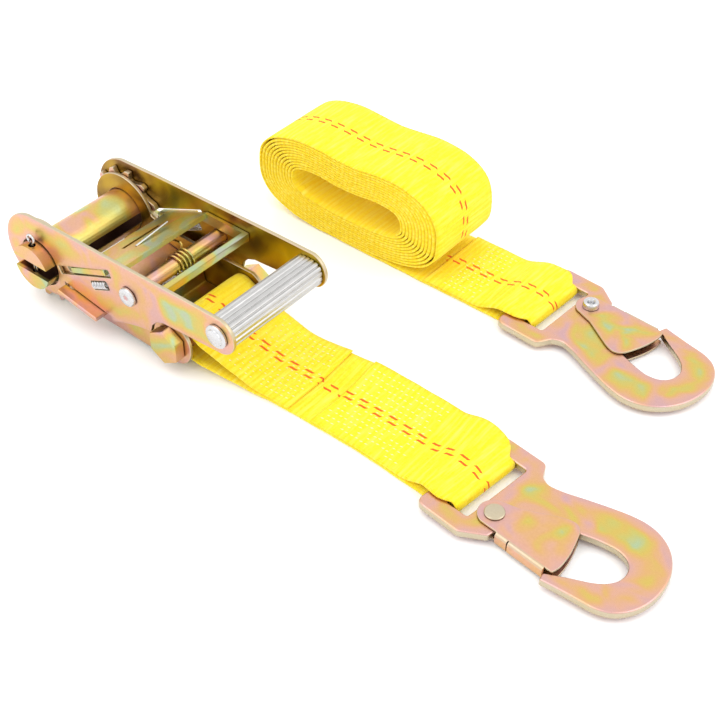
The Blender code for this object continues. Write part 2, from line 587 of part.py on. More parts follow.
long_path = [(-17.0, WEB_TOP, WEB_W / 2, LONG_Y, 0.0), (0.0, WEB_TOP, WEB_W / 2, LONG_Y, 0.0)]
long_path += hook_loop(HOOK_2_AT, HOOK_2_YAW, lambda x: LONG_Y)
long_path += [(x, WEB_LOW, WEB_W / 2, LONG_Y, 0.0) for x in (15, -10, -30, -50)]
roll_z = WEB_LOW + ROLL_B
STEPS = 30
for i in range(1, ROLL_TURNS * STEPS - 4):
    u = i / STEPS
    a = -math.pi / 2 - 2 * math.pi * u
    half_x, half_z = ROLL_A - ROLL_STEP_A * u, ROLL_B - ROLL_STEP_B * u
    c, s = math.cos(a), math.sin(a)
    x = ROLL_X + half_x * math.copysign(abs(c) ** (2 / ROLL_POWER), c)
    z = roll_z + half_z * math.copysign(abs(s) ** (2 / ROLL_POWER), s)
    if s > 0:
        z -= ROLL_DIP * math.exp(-((x - ROLL_X) / 22.0) ** 2) * smooth(s * 1.6)
        z += ROLL_RISE * smooth((x - ROLL_X) / 50.0) * smooth(s * 1.6)
    long_path.append((x, z, WEB_W / 2, LONG_Y, 0.0))
ribbon("long_strap", long_path, "webbing")

# ---- centre everything on the footprint and set it on the floor ------------------------
low = Vector((1e9, 1e9, 1e9))
high = -low
for ob in PARTS.objects:
    for vert in ob.data.vertices:
        low = Vector(map(min, low, vert.co))
        high = Vector(map(max, high, vert.co))
shift = Vector((-(low.x + high.x) / 2, -(low.y + high.y) / 2, -low.z))


def hook_point(at, yaw, flip, u, v):
    """World mm of a hook's local plan point, at the middle of its plate."""
    turn = Matrix.Rotation(math.radians(yaw), 3, "Z")
    return Vector((*at, HOOK_Z + HOOK_T / 2)) + turn @ Vector((u, -v if flip else v, 0))


def pawl_point(angle, offset, along):
    u, v = line_point(angle, offset, along)
    return MANDREL + Vector((u, 0, v))


# Each moving group hangs on an empty that sits on its own joint.
GROUPS = {
    "mandrel_axis": (MANDREL, ["mandrel_half_upper", "mandrel_half_lower", "ratchet_wheel_near",
                               "ratchet_wheel_far", "split_pin_near", "split_pin_far"]),
    "handle_axis": (MANDREL, ["handle_plate_near", "handle_plate_far", "grip_bar", "grip_rivet",
                              "handle_tie_rod", "tie_rod_spring", "pawl_spring_near",
                              "pawl_spring_far"]),
    "drive_pawl_axis": (pawl_point(DRIVE_ANGLE, DRIVE_OFFSET, DRIVE_A[0]), ["drive_pawl"]),
    "lock_pawl_axis": (pawl_point(LOCK_ANGLE, LOCK_OFFSET, LOCK_A[0]), ["lock_pawl"]),
    "hook_1_gate_axis": (hook_point(HOOK_1_AT, HOOK_1_YAW, False, *RIVET_AT), ["hook_1_gate"]),
    "hook_2_gate_axis": (hook_point(HOOK_2_AT, HOOK_2_YAW, True, *RIVET_AT), ["hook_2_gate"]),
    "long_strap_axis": (Vector((*HOOK_2_AT, 0)), ["long_strap", "hook_2_body", "hook_2_rivet",
                                                  "hook_2_spring"]),
}
for name, (pivot, nodes) in GROUPS.items():
    empty = bpy.data.objects.new(name, None)
    empty.empty_display_size = 0.02
    empty.location = pivot * MM + shift
    PARTS.objects.link(empty)
    for node in nodes:
        ob = bpy.data.objects[node]
        ob.data.transform(Matrix.Translation(pivot * -MM))
        ob.parent = empty
for ob in PARTS.objects:
    if ob.type == "MESH" and ob.parent is None:
        ob.location = shift
bpy.data.objects["hook_2_gate_axis"].parent = bpy.data.objects["long_strap_axis"]
bpy.data.objects["hook_2_gate_axis"].location -= bpy.data.objects["long_strap_axis"].location
bpy.data.objects["drive_pawl_axis"].parent = bpy.data.objects["handle_axis"]
bpy.data.objects["drive_pawl_axis"].location -= bpy.data.objects["handle_axis"].location
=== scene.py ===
"""Looks of the ratchet tie down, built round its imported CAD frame. Metres, +Z up;
helpers that take outlines and profiles work in millimetres."""
import math

import bmesh
import bpy
import numpy as np
from mathutils import Matrix, Vector
from mathutils.geometry import delaunay_2d_cdt


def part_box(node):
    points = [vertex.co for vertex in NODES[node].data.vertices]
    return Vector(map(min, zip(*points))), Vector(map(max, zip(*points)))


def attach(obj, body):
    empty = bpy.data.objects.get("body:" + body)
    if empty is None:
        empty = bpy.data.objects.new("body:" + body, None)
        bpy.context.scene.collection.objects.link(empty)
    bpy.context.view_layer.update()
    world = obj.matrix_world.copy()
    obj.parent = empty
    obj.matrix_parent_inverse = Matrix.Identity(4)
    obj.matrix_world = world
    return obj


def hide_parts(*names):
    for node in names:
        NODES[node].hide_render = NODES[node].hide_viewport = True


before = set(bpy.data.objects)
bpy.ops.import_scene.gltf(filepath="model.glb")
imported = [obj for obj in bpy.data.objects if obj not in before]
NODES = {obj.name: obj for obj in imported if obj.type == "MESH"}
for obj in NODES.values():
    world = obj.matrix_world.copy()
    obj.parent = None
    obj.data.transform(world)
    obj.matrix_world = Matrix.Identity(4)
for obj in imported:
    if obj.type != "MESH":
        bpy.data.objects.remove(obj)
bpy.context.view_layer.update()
MM = 0.001

# ---- where things are: everything is placed from the mandrel's own boxes -----
wheel_low, wheel_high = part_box("ratchet_wheel_near")
mandrel_low, mandrel_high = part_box("mandrel_half_upper")
AXIS = Vector(((wheel_low.x + wheel_high.x) / 2, (mandrel_low.y + mandrel_high.y) / 2,
               (wheel_low.z + wheel_high.z) / 2))
MANDREL = Vector((-166.0, -30.0, 25.2))          # the same point in the part's own plan, mm
SHIFT = AXIS - MANDREL * MM
GAP = 0.3                                        # clearance between parts, mm

# Ratchet, mm: inner face and thickness of each pair of plates, out from the middle
FRAME_IN, FRAME_T = 26.5, 2.0
WHEEL_IN, WHEEL_T = 28.8, 3.0
HANDLE_IN, HANDLE_T = 32.1, 2.2
HANDLE_OUT = HANDLE_IN + HANDLE_T
# Radii and places seen from the side, from the mandrel's axis
WHEEL_R, WHEEL_ROOT, TEETH, TOOTH_START = 25.0, 20.0, 12, -100.0
MANDREL_R = 13.0
BOLT, BOLT_R, SPACER_R, FRAME_END_R, EAR_R = (91.2, -9.2), 5.0, 8.0, 13.2, 22.3
GRIP, GRIP_HOLE_R, TIE, TIE_R = (131.3, 20.4), 4.3, (69.3, 12.5), 4.2
# Sliding pawls: angle in degrees, height over the axis, where they start or end along it
DRIVE_ANGLE, DRIVE_OFFSET, DRIVE_HEEL = 23.0, -4.2, 56.5
LOCK_ANGLE, LOCK_OFFSET, LOCK_TIP, LOCK_HEEL, LOCK_T = -9.0, -3.1, 25.2, 48.5, 2.6
# Release springs in the handle's windows
SPRING_AT, SPRING_ANGLE, SPRING_LENGTH, SPRING_R, SPRING_WIRE_R = (47.5, 8.0), 25.0, 11.6, 1.9, 0.48

# Snap hooks, mm: thickness and height off the floor, slot, gate rivet, and the gate's sheet
HOOK_T, HOOK_Z, GATE_T = 4.2, 2.6, 1.1
SLOT_HALF, SLOT_START, SLOT_END = 20.5, -11.0, 1.2
RIVET_AT, RIVET_R = (9.2, -11.2), 2.6
FOLD_V, FOLD_R, FOLD_BEND = -20.9, 1.7, -19.2    # the gate's wall, its fold radius, where it bends
HOOKS = {"hook_1": ((106.2, -31.1), -6.3, False), "hook_2": ((58.8, 97.6), -3.2, True)}

# Webbing, mm: section, cross ribs, and the heights of its two layers' middles off the floor
WEB_W, WEB_T = 50.0, 1.3
HALF_T = WEB_T / 2
RIB = 3.1
WEB_LOW = 0.3 + HALF_T
WEB_TOP = WEB_LOW + WEB_T + GAP
SHORT_LINE = ((-60, -28.9), (-40, -25.4), (-20, -23.0), (0, -22.2), (20, -21.9), (40, -22.2),
              (60, -23.2))
LONG_Y = 100.5
# The roll: turns, middle, half length and half height, what each turn takes off them, squareness
ROLL_TURNS, ROLL_X, ROLL_A, ROLL_B = 12, -72.6, 64.6, 28.2
ROLL_STEP_A, ROLL_STEP_B, ROLL_POWER, ROLL_DIP, ROLL_RISE = 2.2, 1.5, 2.8, 3.0, 2.0


# ---- materials ---------------------------------------------------------------
class Nodes:
    """Builds one node material."""

    def __init__(self, name):
        self.mat = bpy.data.materials.new(name)
        self.mat.use_nodes = True
        self.tree = self.mat.node_tree
        self.shader = self.tree.nodes["Principled BSDF"]

    def add(self, kind, **inputs):
        """New node. A name that starts with p_ sets a property, any other feeds a socket."""
        node = self.tree.nodes.new(kind)
        for key, value in inputs.items():
            if key.startswith("p_"):
                setattr(node, key[2:], value)
            else:
                self.feed(node.inputs[key.replace("_", " ")], value)
        return node

    def feed(self, socket, value):
        if isinstance(value, bpy.types.NodeSocket):
            self.tree.links.new(value, socket)
        else:
            socket.default_value = value

    def set(self, **inputs):
        for key, value in inputs.items():
            self.feed(self.shader.inputs[key.replace("_", " ")], value)

    def math(self, op, a, b=0.0, clamp=False):
        node = self.tree.nodes.new("ShaderNodeMath")
        node.operation = op
        node.use_clamp = clamp
        self.feed(node.inputs[0], a)
        self.feed(node.inputs[1], b)
        return node.outputs[0]

    def ramp(self, fac, stops):
        node = self.tree.nodes.new("ShaderNodeValToRGB")
        self.feed(node.inputs[0], fac)
        elements = node.color_ramp.elements
        while len(elements) < len(stops):
            elements.new(0.5)
        for element, (pos, color) in zip(elements, stops):
            element.position = pos
            element.color = (*color, 1.0)
        return node.outputs[0]

    def noise(self, vector, scale, detail=2.0, rough=0.5, distortion=0.0):
        node = self.add("ShaderNodeTexNoise", Vector=vector, Scale=scale, Detail=detail, Roughness=rough,
                        Distortion=distortion)
        return node.outputs["Fac"]

    def remap(self, value, a, b, c, d):
        """Value, clamped between a and b, taken to the range c to d."""
        node = self.tree.nodes.new("ShaderNodeMapRange")
        for i, x in enumerate((value, a, b, c, d)):
            self.feed(node.inputs[i], x)
        return node.outputs[0]

    def mix(self, fac, a, b, blend="MIX"):
        node = self.tree.nodes.new("ShaderNodeMix")
        node.data_type = "RGBA"
        node.blend_type = blend
        self.feed(node.inputs[0], fac)
        self.feed(node.inputs[6], a)
        self.feed(node.inputs[7], b)
        return node.outputs[2]

    def bump(self, height, distance, strength=1.0):
        node = self.add("ShaderNodeBump", Height=height, Distance=distance, Strength=strength)
        self.set(Normal=node.outputs[0])


def zinc(name, offset=(0.0, 0.0, 0.0), bias=0.0, edged=True, rough=0.33, inner=0, core=False):
    """Yellow zinc plating: soft pink, gold and green blotches, pinker towards cut edges.
    offset and bias move and shift the blotches, and edged turns the cut edges pinker, with a pale
    grey band right on the edge that is a painted highlight. inner is the side (+1 or -1 along Y) whose
    faces get a painted reflection of the ratchet's shadowed inside, and core paints shade on the
    mandrel inside its round face, where its slot lies."""
    n = Nodes(name)
    texture = n.add("ShaderNodeTexCoord")
    coord = texture.outputs["Object"]
    place = n.add("ShaderNodeMapping", Vector=coord, Location=offset).outputs[0]
    blotch = n.noise(place, 56.0, 1.5, 0.45, 0.8)
    t = n.remap(blotch, 0.29, 0.73, 0.06 + bias, 0.92 + bias)
    edge = n.add("ShaderNodeAttribute", p_attribute_name="edge_mm").outputs["Fac"]
    if edged:
        inside = n.remap(edge, 0.0, 7.5, 0.0, 1.0)
        wander = n.remap(n.noise(place, 110.0, 1.0), 0.3, 0.7, -0.18, 0.18)
        inside = n.math("ADD", inside, wander, clamp=True)
        t = n.math("MULTIPLY", t, n.remap(inside, 0.0, 1.0, 0.25, 1.0), clamp=True)
    color = n.ramp(t, [
        (0.00, (0.58, 0.36, 0.37)), (0.15, (0.66, 0.38, 0.28)), (0.34, (0.66, 0.40, 0.17)),
        (0.52, (0.61, 0.46, 0.12)), (0.68, (0.53, 0.49, 0.15)), (0.84, (0.41, 0.51, 0.30)),
        (1.00, (0.44, 0.47, 0.38))])
    if edged:
        # Painted highlight: a pale grey band within about 0.4 mm of the cut edge, where the bevel would
        # catch the light.
        painted_edge_highlight = n.remap(edge, 0.05, 0.40, 0.75, 0.0)
        color = n.mix(painted_edge_highlight, color, (0.50, 0.49, 0.33, 1.0))
    fine = n.noise(place, 900.0, 3.0, 0.6)
    color = n.mix(n.remap(fine, 0.3, 0.7, 0.0, 0.12), color, (0.55, 0.42, 0.22, 1.0), "MULTIPLY")
    # Painted reflection: faces turned to the inner side along Y are coloured olive and deep brown,
    # standing in for the ratchet's shadowed inside mirrored in them.
    if inner:
        side = n.add("ShaderNodeSeparateXYZ", Vector=texture.outputs["Normal"]).outputs[1]
        painted_reflection_mask = n.remap(n.math("MULTIPLY", side, float(inner)), 0.9, 0.99, 0.0, 0.92)
        painted_dark_reflection = n.ramp(n.remap(n.noise(place, 38.0, 1.5, 0.5, 0.6), 0.32, 0.68, 0.0, 1.0), [
            (0.0, (0.16, 0.075, 0.006)), (0.35, (0.40, 0.24, 0.008)), (0.62, (0.52, 0.36, 0.012)),
            (1.0, (0.27, 0.22, 0.010))])
        color = n.mix(painted_reflection_mask, color, painted_dark_reflection)
    # Painted shade: faces inside the mandrel's round face, along its length between the outer plates, are
    # coloured near black-brown where its slot lies in shadow.
    if core:
        x, y, z = n.add("ShaderNodeSeparateXYZ", Vector=coord).outputs
        off_x, off_z = n.math("SUBTRACT", x, AXIS.x), n.math("SUBTRACT", z, AXIS.z)
        squares = n.math("ADD", n.math("MULTIPLY", off_x, off_x), n.math("MULTIPLY", off_z, off_z))
        across = n.math("ABSOLUTE", n.math("SUBTRACT", y, AXIS.y))
        painted_slot_shade = n.math("MULTIPLY", n.remap(n.math("SQRT", squares), 0.0121, 0.0125, 1.0, 0.0),
                        n.remap(across, 0.0385, 0.0395, 1.0, 0.0))
        color = n.mix(painted_slot_shade, color, (0.10, 0.035, 0.010, 1.0))
    n.set(Base_Color=color, Metallic=1.0,
          Roughness=n.remap(fine, 0.3, 0.7, rough - 0.05, rough + 0.08))
    n.bump(n.noise(coord, 1500.0, 3.0, 0.6), 0.00004, 0.35)
    return n.mat


def silver(name, tint=(0.80, 0.80, 0.82), rough=0.28, along=None):
    """Bright steel or satin aluminium, with fine drawn lines when along is an axis scale."""
    n = Nodes(name)
    coord = n.add("ShaderNodeTexCoord").outputs["Object"]
    place = n.add("ShaderNodeMapping", Vector=coord, Scale=along or (1.0, 1.0, 1.0)).outputs[0]
    grain = n.noise(place, 1200.0, 3.0, 0.6)
    cloud = n.noise(coord, 160.0, 2.0)
    duller = [c * 0.9 for c in tint]
    color = n.mix(n.remap(cloud, 0.3, 0.7, 0.0, 1.0), (*tint, 1.0), (*duller, 1.0))
    n.set(Base_Color=color, Metallic=1.0,
          Roughness=n.remap(grain, 0.3, 0.7, rough - 0.06, rough + 0.08))
    n.bump(grain, 0.00003, 0.4)
    return n.mat


YARN = 1.15                                      # pitch of the lengthwise yarns, mm
TRACER_ROWS = ((-1.75, 0.0), (1.75, 4.3))        # place across and phase along, mm
TRACER_HALF, DASH_PITCH, DASH_MIDDLE, DASH_HALF, DASH_SLANT = 0.62, 9.3, 3.0, 2.5, 0.9
PHASE_BASE = 9000.0                              # keeps the dashes' phase positive, mm


def webbing_material(name, tracer_phase=0.0):
    """Yellow polyester webbing: cross ribs with painted shade in their grooves, lengthwise yarns and two
    dashed tracer lines.
    The uv map holds millimetres: u across the webbing, v along it."""
    n = Nodes(name)
    uv = n.add("ShaderNodeUVMap", p_uv_map="mm").outputs[0]
    u, v, _ = n.add("ShaderNodeSeparateXYZ", Vector=uv).outputs
    wave = n.math("COSINE", n.math("MULTIPLY", v, 2 * math.pi / RIB))
    groove = n.remap(wave, -1.0, 1.0, 0.0, 1.0)
    swayed = n.math("ADD", u, n.math("MULTIPLY", wave, 0.14))
    yarn = n.math("SINE", n.math("MULTIPLY", swayed, 2 * math.pi / YARN))
    coord = n.add("ShaderNodeTexCoord").outputs["Object"]
    fleck = n.noise(coord, 620.0, 2.0, 0.6)
    broad = n.noise(coord, 40.0, 1.0)
    bands = n.add("ShaderNodeCombineXYZ", X=n.math("MULTIPLY", u, 0.05), Y=n.math("MULTIPLY", v, 0.42))
    streak = n.noise(bands.outputs[0], 1.0, 2.0, 0.6)
    bright = n.mix(n.remap(fleck, 0.35, 0.65, 0.0, 1.0),
                   (0.90, 0.72, 0.035, 1.0), (0.87, 0.65, 0.010, 1.0))
    bright = n.mix(n.remap(broad, 0.35, 0.65, 0.0, 0.35), bright, (0.87, 0.62, 0.006, 1.0))
    bright = n.mix(n.remap(streak, 0.45, 0.75, 0.0, 0.8), bright, (0.92, 0.78, 0.12, 1.0))
    # Painted shade: the rib grooves are coloured a deeper orange, less where the streaks run, and the red
    # tracer dashes go deeper with them.
    painted_groove_shade = n.remap(n.math("ADD", groove, n.math("MULTIPLY", streak, -0.4)), 0.35, 0.8, 0.0, 0.36)
    body = n.mix(painted_groove_shade, bright, (0.82, 0.53, 0.004, 1.0))
    mask = 0.0
    for across, phase in TRACER_ROWS:
        start = n.math("ADD", v, phase + tracer_phase + PHASE_BASE)
        along = n.math("MODULO", n.math("ADD", start, n.math("MULTIPLY", u, DASH_SLANT)), DASH_PITCH)
        dash = n.math("LESS_THAN", n.math("ABSOLUTE", n.math("SUBTRACT", along, DASH_MIDDLE)),
                      DASH_HALF)
        line = n.math("LESS_THAN", n.math("ABSOLUTE", n.math("SUBTRACT", u, across)), TRACER_HALF)
        mask = n.math("MAXIMUM", mask, n.math("MULTIPLY", dash, line))
    red = n.mix(painted_groove_shade, (0.74, 0.115, 0.010, 1.0), (0.62, 0.08, 0.005, 1.0))
    n.set(Base_Color=n.mix(mask, body, red), Roughness=0.78, Specular_IOR_Level=0.2,
          Sheen_Weight=0.06, Sheen_Roughness=0.5)
    height = n.math("ADD", n.math("MULTIPLY", yarn, 0.5), n.math("MULTIPLY", fleck, 0.7))
    n.bump(height, 0.00012, 0.6)
    return n.mat


def thread_material(name, color):
    """Twisted sewing thread."""
    n = Nodes(name)
    coord = n.add("ShaderNodeTexCoord").outputs["Object"]
    twist = n.noise(coord, 1500.0, 2.0, 0.6)
    darker = [c * 0.8 for c in color]
    tone = n.mix(n.remap(twist, 0.3, 0.7, 0.0, 0.5), (*color, 1.0), (*darker, 1.0))
    n.set(Base_Color=tone, Roughness=0.6, Sheen_Weight=0.2)
    n.bump(twist, 0.00005, 0.5)
    return n.mat


ZINC_PLATE = zinc("zinc_plate")
# inner=-1 gives the far plates' inward faces the painted reflection of the ratchet's shadowed inside.
ZINC_FAR = zinc("zinc_far_plate", (0.31, 0.12, 0.05), 0.10, inner=-1)
ZINC_WHEEL = zinc("zinc_wheel", (0.2, 0.4, 0.1), -0.05)
# core=True paints shade into the mandrel's slot.
ZINC_MANDREL = zinc("zinc_mandrel", (0.07, 0.03, 0.21), -0.06, False, core=True)
ZINC_ROUND = zinc("zinc_round", (0.07, 0.03, 0.21), -0.22, False)
ZINC_PAWL = zinc("zinc_pawl", (0.17, 0.23, 0.02), 0.16, False)
ZINC_LOCK = zinc("zinc_lock_pawl", (0.4, 0.1, 0.3), -0.26, False)
ZINC_BOLT = zinc("zinc_bolt", (0.11, 0.31, 0.22), -0.04, False)
ZINC_HOOK = zinc("zinc_hook", (0.05, 0.11, 0.3), -0.07, True, 0.30)
ZINC_GATE = zinc("zinc_gate", (0.23, 0.01, 0.15), -0.02, True, 0.36)
STEEL = silver("bright_steel", (0.60, 0.60, 0.61), 0.26)
ALUMINIUM = silver("satin_aluminium", (0.53, 0.525, 0.515), 0.30, (1.0, 0.04, 1.0))
WEB_SHORT = webbing_material("short_webbing_weave")
WEB_LONG = webbing_material("long_webbing_weave", 2.2)
THREAD = thread_material("sewing_thread", (0.92, 0.84, 0.42))


# ---- outline helpers (mm) ----------------------------------------------------
def arc(cx, cz, r, a0, a1, n):
    """n + 1 points round a centre, from a0 to a1 degrees."""
    return [(cx + r * math.cos(math.radians(a0 + (a1 - a0) * i / n)),
             cz + r * math.sin(math.radians(a0 + (a1 - a0) * i / n))) for i in range(n + 1)]


def circle(cx, cz, r, n=48):
    """Closed circle of n points."""
    return arc(cx, cz, r, 0, 360 * (n - 1) / n, n - 1)


def slab(origin, angle, a0, a1, b0, b1):
    """Rectangle a0..a1 along the angle, b0..b1 across it, from origin."""
    c, s = math.cos(math.radians(angle)), math.sin(math.radians(angle))
    return [(origin[0] + c * a - s * b, origin[1] + s * a + c * b)
            for a, b in ((a0, b0), (a1, b0), (a1, b1), (a0, b1))]


def rounded(points, radius, n=6):
    """Round every corner of a closed outline; radius is one value or one per corner."""
    out = []
    count = len(points)
    for i, p in enumerate(points):
        r = radius[i] if isinstance(radius, (list, tuple)) else radius
        here = Vector(p)
        a = Vector(points[i - 1]) - here
        b = Vector(points[(i + 1) % count]) - here
        if r <= 0 or a.length < 1e-6 or b.length < 1e-6:
            out.append(tuple(here))
            continue
        half = a.angle(b) / 2
        cut = min(r / math.tan(half), a.length * 0.48, b.length * 0.48)
        p0, p1 = here + a.normalized() * cut, here + b.normalized() * cut
        for k in range(n + 1):
            t = k / n
            q = p0 * (1 - t) ** 2 + here * 2 * t * (1 - t) + p1 * t * t
            out.append((q.x, q.y))
    return out


# ---- mesh helpers ------------------------------------------------------------
def new_piece(name, mesh, mat, body, slot, *replaced):
    """One finished piece that rides a body and stands in for the replaced CAD nodes."""
    mesh.name = name
    ob = bpy.data.objects.new(name, mesh)
    bpy.context.scene.collection.objects.link(ob)
    mesh.materials.clear()
    mesh.materials.append(mat)
    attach(ob, body)
    if replaced:
        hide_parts(*replaced)
    return ob


def weighted(ob):
    """Shade the large faces flat and the rounded edges smooth."""
    mod = ob.modifiers.new("normals", "WEIGHTED_NORMAL")
    mod.weight = 70
    mod.keep_sharp = True


def inset_loop(pts, amount):
    """The loop moved to the left of its direction by amount."""
    ahead = np.roll(pts, -1, 0) - pts
    ahead /= np.maximum(np.linalg.norm(ahead, axis=1, keepdims=True), 1e-9)
    normal = np.stack([-ahead[:, 1], ahead[:, 0]], 1)
    before = np.roll(normal, 1, 0)
    dot = np.maximum(1 + (normal * before).sum(1, keepdims=True), 0.45)
    return pts + (normal + before) / dot * amount


def edge_distance(points, loops):
    """Distance from each point to the nearest loop edge, and whether it is inside them."""
    best = np.full(len(points), 1e9)
    crossings = np.zeros(len(points), int)
    for loop in loops:
        for a, b in zip(loop, np.roll(loop, -1, 0)):
            d = b - a
            t = np.clip(((points - a) @ d) / max(d @ d, 1e-12), 0, 1)
            best = np.minimum(best, np.linalg.norm(points - (a + t[:, None] * d), axis=1))
            if a[1] != b[1]:
                hit = (a[1] > points[:, 1]) != (b[1] > points[:, 1])
                crossings += hit & (points[:, 0] < d[0] * (points[:, 1] - a[1]) / d[1] + a[0])
    return best, crossings % 2 == 1


def turned_loops(loops):
    """The loops without doubled points, the outside anticlockwise and the holes clockwise."""
    out = []
    for i, loop in enumerate(loops):
        pts = np.array([p for k, p in enumerate(loop) if math.dist(p, loop[k - 1]) > 0.02], float)
        nxt = np.roll(pts, -1, 0)
        anticlockwise = (pts[:, 0] * nxt[:, 1] - nxt[:, 0] * pts[:, 1]).sum() > 0
        out.append(pts if anticlockwise == (i == 0) else pts[::-1])
    return out


def filled(loops, grid):
    """Triangles that fill the loops, over an even grid of inner points. Returns the points, the
    triangles, each point's number along the loops (None off them) and its distance to them."""
    outline = np.concatenate(loops)
    links = []
    for pts in loops:
        start = len(links)
        links += [(start + j, start + (j + 1) % len(pts)) for j in range(len(pts))]
    low, high = outline.min(0), outline.max(0)
    xs = np.arange(low[0], high[0], grid)
    ys = np.arange(low[1], high[1], grid * 0.87)
    cells = np.array([(x + (grid / 2 if k % 2 else 0), y) for k, y in enumerate(ys) for x in xs])
    near, inside = edge_distance(cells, loops)
    clear = inside & (near > grid * 0.45)
    seeds = [Vector(p) for p in np.concatenate([outline, cells[clear]])]
    coords, _, tris, origin, _, _ = delaunay_2d_cdt(seeds, links, [], 0, 1e-5)
    centres = np.array([[sum(coords[i][k] for i in tri) / 3 for k in (0, 1)] for tri in tris])
    _, keep = edge_distance(centres, loops)
    border = len(outline)
    away = np.concatenate([np.zeros(border), near[clear]])
    number = [next((k for k in ids if k < border), None) for ids in origin]
    distance = [away[ids[0]] if ids else 0.0 for ids in origin]
    return coords, [tri for tri, ok in zip(tris, keep) if ok], number, distance


def keep_edge_distance(mesh, values):
    """Store each vertex's distance from the cut edge, mm, for the plating's colour and its painted edge
    highlight.
    """
    mesh.attributes.new("edge_mm", "FLOAT", "POINT").data.foreach_set("value", values)


def plate_mesh(loops, depth, place, bevel=0.4, steps=2, grid=3.0):
    """Sheet-metal plate with rounded edges. loops[0] is the outside and the rest are holes."""
    quarter = [(bevel * (1 - math.cos(a)), depth / 2 - bevel + bevel * math.sin(a))
               for a in np.linspace(0, math.pi / 2, steps + 1)]
    profile = [(d, -z) for d, z in reversed(quarter)] + quarter
    verts, faces, edge = [], [], []
    low_cap, high_cap, flat = [], [], []
    for pts in turned_loops(loops):
        count = len(pts)
        base = len(verts)
        for d, z in profile:
            verts += [(x, y, z) for x, y in inset_loop(pts, d)]
            edge += [d] * count
        for level in range(len(profile) - 1):
            for j in range(count):
                a, b = base + level * count + j, base + level * count + (j + 1) % count
                faces.append((a, b, b + count, a + count))
        low_cap += list(range(base, base + count))
        high_cap += list(range(base + (len(profile) - 1) * count, base + len(profile) * count))
        flat.append(inset_loop(pts, bevel))
    coords, tris, number, distance = filled(flat, grid)
    top, bottom = {}, {}
    for i, (x, y) in enumerate(coords):
        if number[i] is None:
            top[i], bottom[i] = len(verts), len(verts) + 1
            verts += [(x, y, depth / 2), (x, y, -depth / 2)]
            edge += [distance[i] + bevel] * 2
        else:
            top[i], bottom[i] = high_cap[number[i]], low_cap[number[i]]
    for tri in tris:
        a, b, c = (coords[i] for i in tri)
        if (b - a).cross(c - a) < 0:
            tri = tri[::-1]
        faces.append(tuple(top[i] for i in tri))
        faces.append(tuple(bottom[i] for i in reversed(tri)))
    used = sorted({i for f in faces for i in f})
    index = {old: k for k, old in enumerate(used)}
    mesh = bpy.data.meshes.new("plate")
    mesh.from_pydata([Vector(verts[i]) * MM for i in used], [],
                     [tuple(index[i] for i in f) for f in faces])
    keep_edge_distance(mesh, [edge[i] for i in used])
    mesh.transform(place)
    mesh.shade_smooth()
    return mesh


def face_outward(mesh):
    """Turn every face of a closed mesh outwards."""
    bm = bmesh.new()
    bm.from_mesh(mesh)
    bmesh.ops.recalc_face_normals(bm, faces=bm.faces)
    bm.to_mesh(mesh)
    bm.free()


def lathe_mesh(profile, place, steps=48):
    """Turn (radius, height) points about the local Z axis; closed where the radius is 0."""
    verts, rings, faces = [], [], []
    for r, h in profile:
        if r < 1e-6:
            rings.append([len(verts)])
            verts.append((0, 0, h))
            continue
        rings.append(list(range(len(verts), len(verts) + steps)))
        verts += [(r * math.cos(2 * math.pi * k / steps), r * math.sin(2 * math.pi * k / steps), h)
                  for k in range(steps)]
    pairs = list(zip(rings, rings[1:]))
    if profile[0][0] > 1e-6:
        pairs.append((rings[-1], rings[0]))
    for lower, upper in pairs:
        for k in range(steps):
            m = (k + 1) % steps
            quad = [lower[k % len(lower)], lower[m % len(lower)],
                    upper[m % len(upper)], upper[k % len(upper)]]
            quad = [q for i, q in enumerate(quad) if q != quad[i - 1]]
            if len(quad) > 2:
                faces.append(quad)
    mesh = bpy.data.meshes.new("turned")
    mesh.from_pydata([Vector(v) * MM for v in verts], [], faces)
    face_outward(mesh)
    mesh.transform(place)
    mesh.shade_smooth()
    mesh.set_sharp_from_angle(angle=math.radians(32))
    return mesh


def join_meshes(meshes):
    """One mesh from several, keeping their edge_mm values."""
    bm = bmesh.new()
    for mesh in meshes:
        bm.from_mesh(mesh)
    out = bpy.data.meshes.new("joined")
    bm.to_mesh(out)
    bm.free()
    out.shade_smooth()
    return out


def dress(node, mat, bevel=None):
    """Finish a CAD node whose shape is right: a material, and either edges rounded by bevel mm
    or, without one, a wire made smooth all over."""
    ob = NODES[node]
    ob.data.materials.clear()
    ob.data.materials.append(mat)
    weld = ob.modifiers.new("weld", "WELD")
    weld.merge_threshold = 2e-6
    if bevel is None:
        soften = ob.modifiers.new("soften", "SUBSURF")
        soften.levels = soften.render_levels = 1
        return
    plane = ob.modifiers.new("planes", "DECIMATE")
    plane.decimate_type = "DISSOLVE"
    plane.angle_limit = math.radians(0.6)
    edge = ob.modifiers.new("edges", "BEVEL")
    edge.width = bevel * MM
    edge.segments = 2
    edge.limit_method = "ANGLE"
    edge.angle_limit = math.radians(32)
    edge.harden_normals = False
    weighted(ob)


def ratchet_place(y):
    """Outline plane (u, v) from the mandrel axis -> world X, Z, at y mm across."""
    return Matrix.Translation(AXIS + Vector((0, y * MM, 0))) @ Matrix.Rotation(math.pi / 2, 4, "X")


def turned_place(at, y, outward):
    """Local Z runs along world Y, towards outward (+1 or -1), from a point of the ratchet."""
    spot = AXIS + Vector((at[0], y, at[1])) * MM
    return Matrix.Translation(spot) @ Matrix.Rotation(-math.pi / 2 * outward, 4, "X")


# ---- ratchet frame, wheels and handle ----------------------------------------
SIDES = ((-1, "near"), (1, "far"))


def side_pair(label, loops, inner, depth, bevel, body, node, finishes):
    """The near and far plates of one shape, mirrored about the ratchet's middle."""
    for (side, tag), finish in zip(SIDES, finishes):
        mesh = plate_mesh(loops, depth, ratchet_place(side * (inner + depth / 2)), bevel)
        weighted(new_piece(f"{label}_{tag}", mesh, finish, body, "zinc", f"{node}_{tag}"))


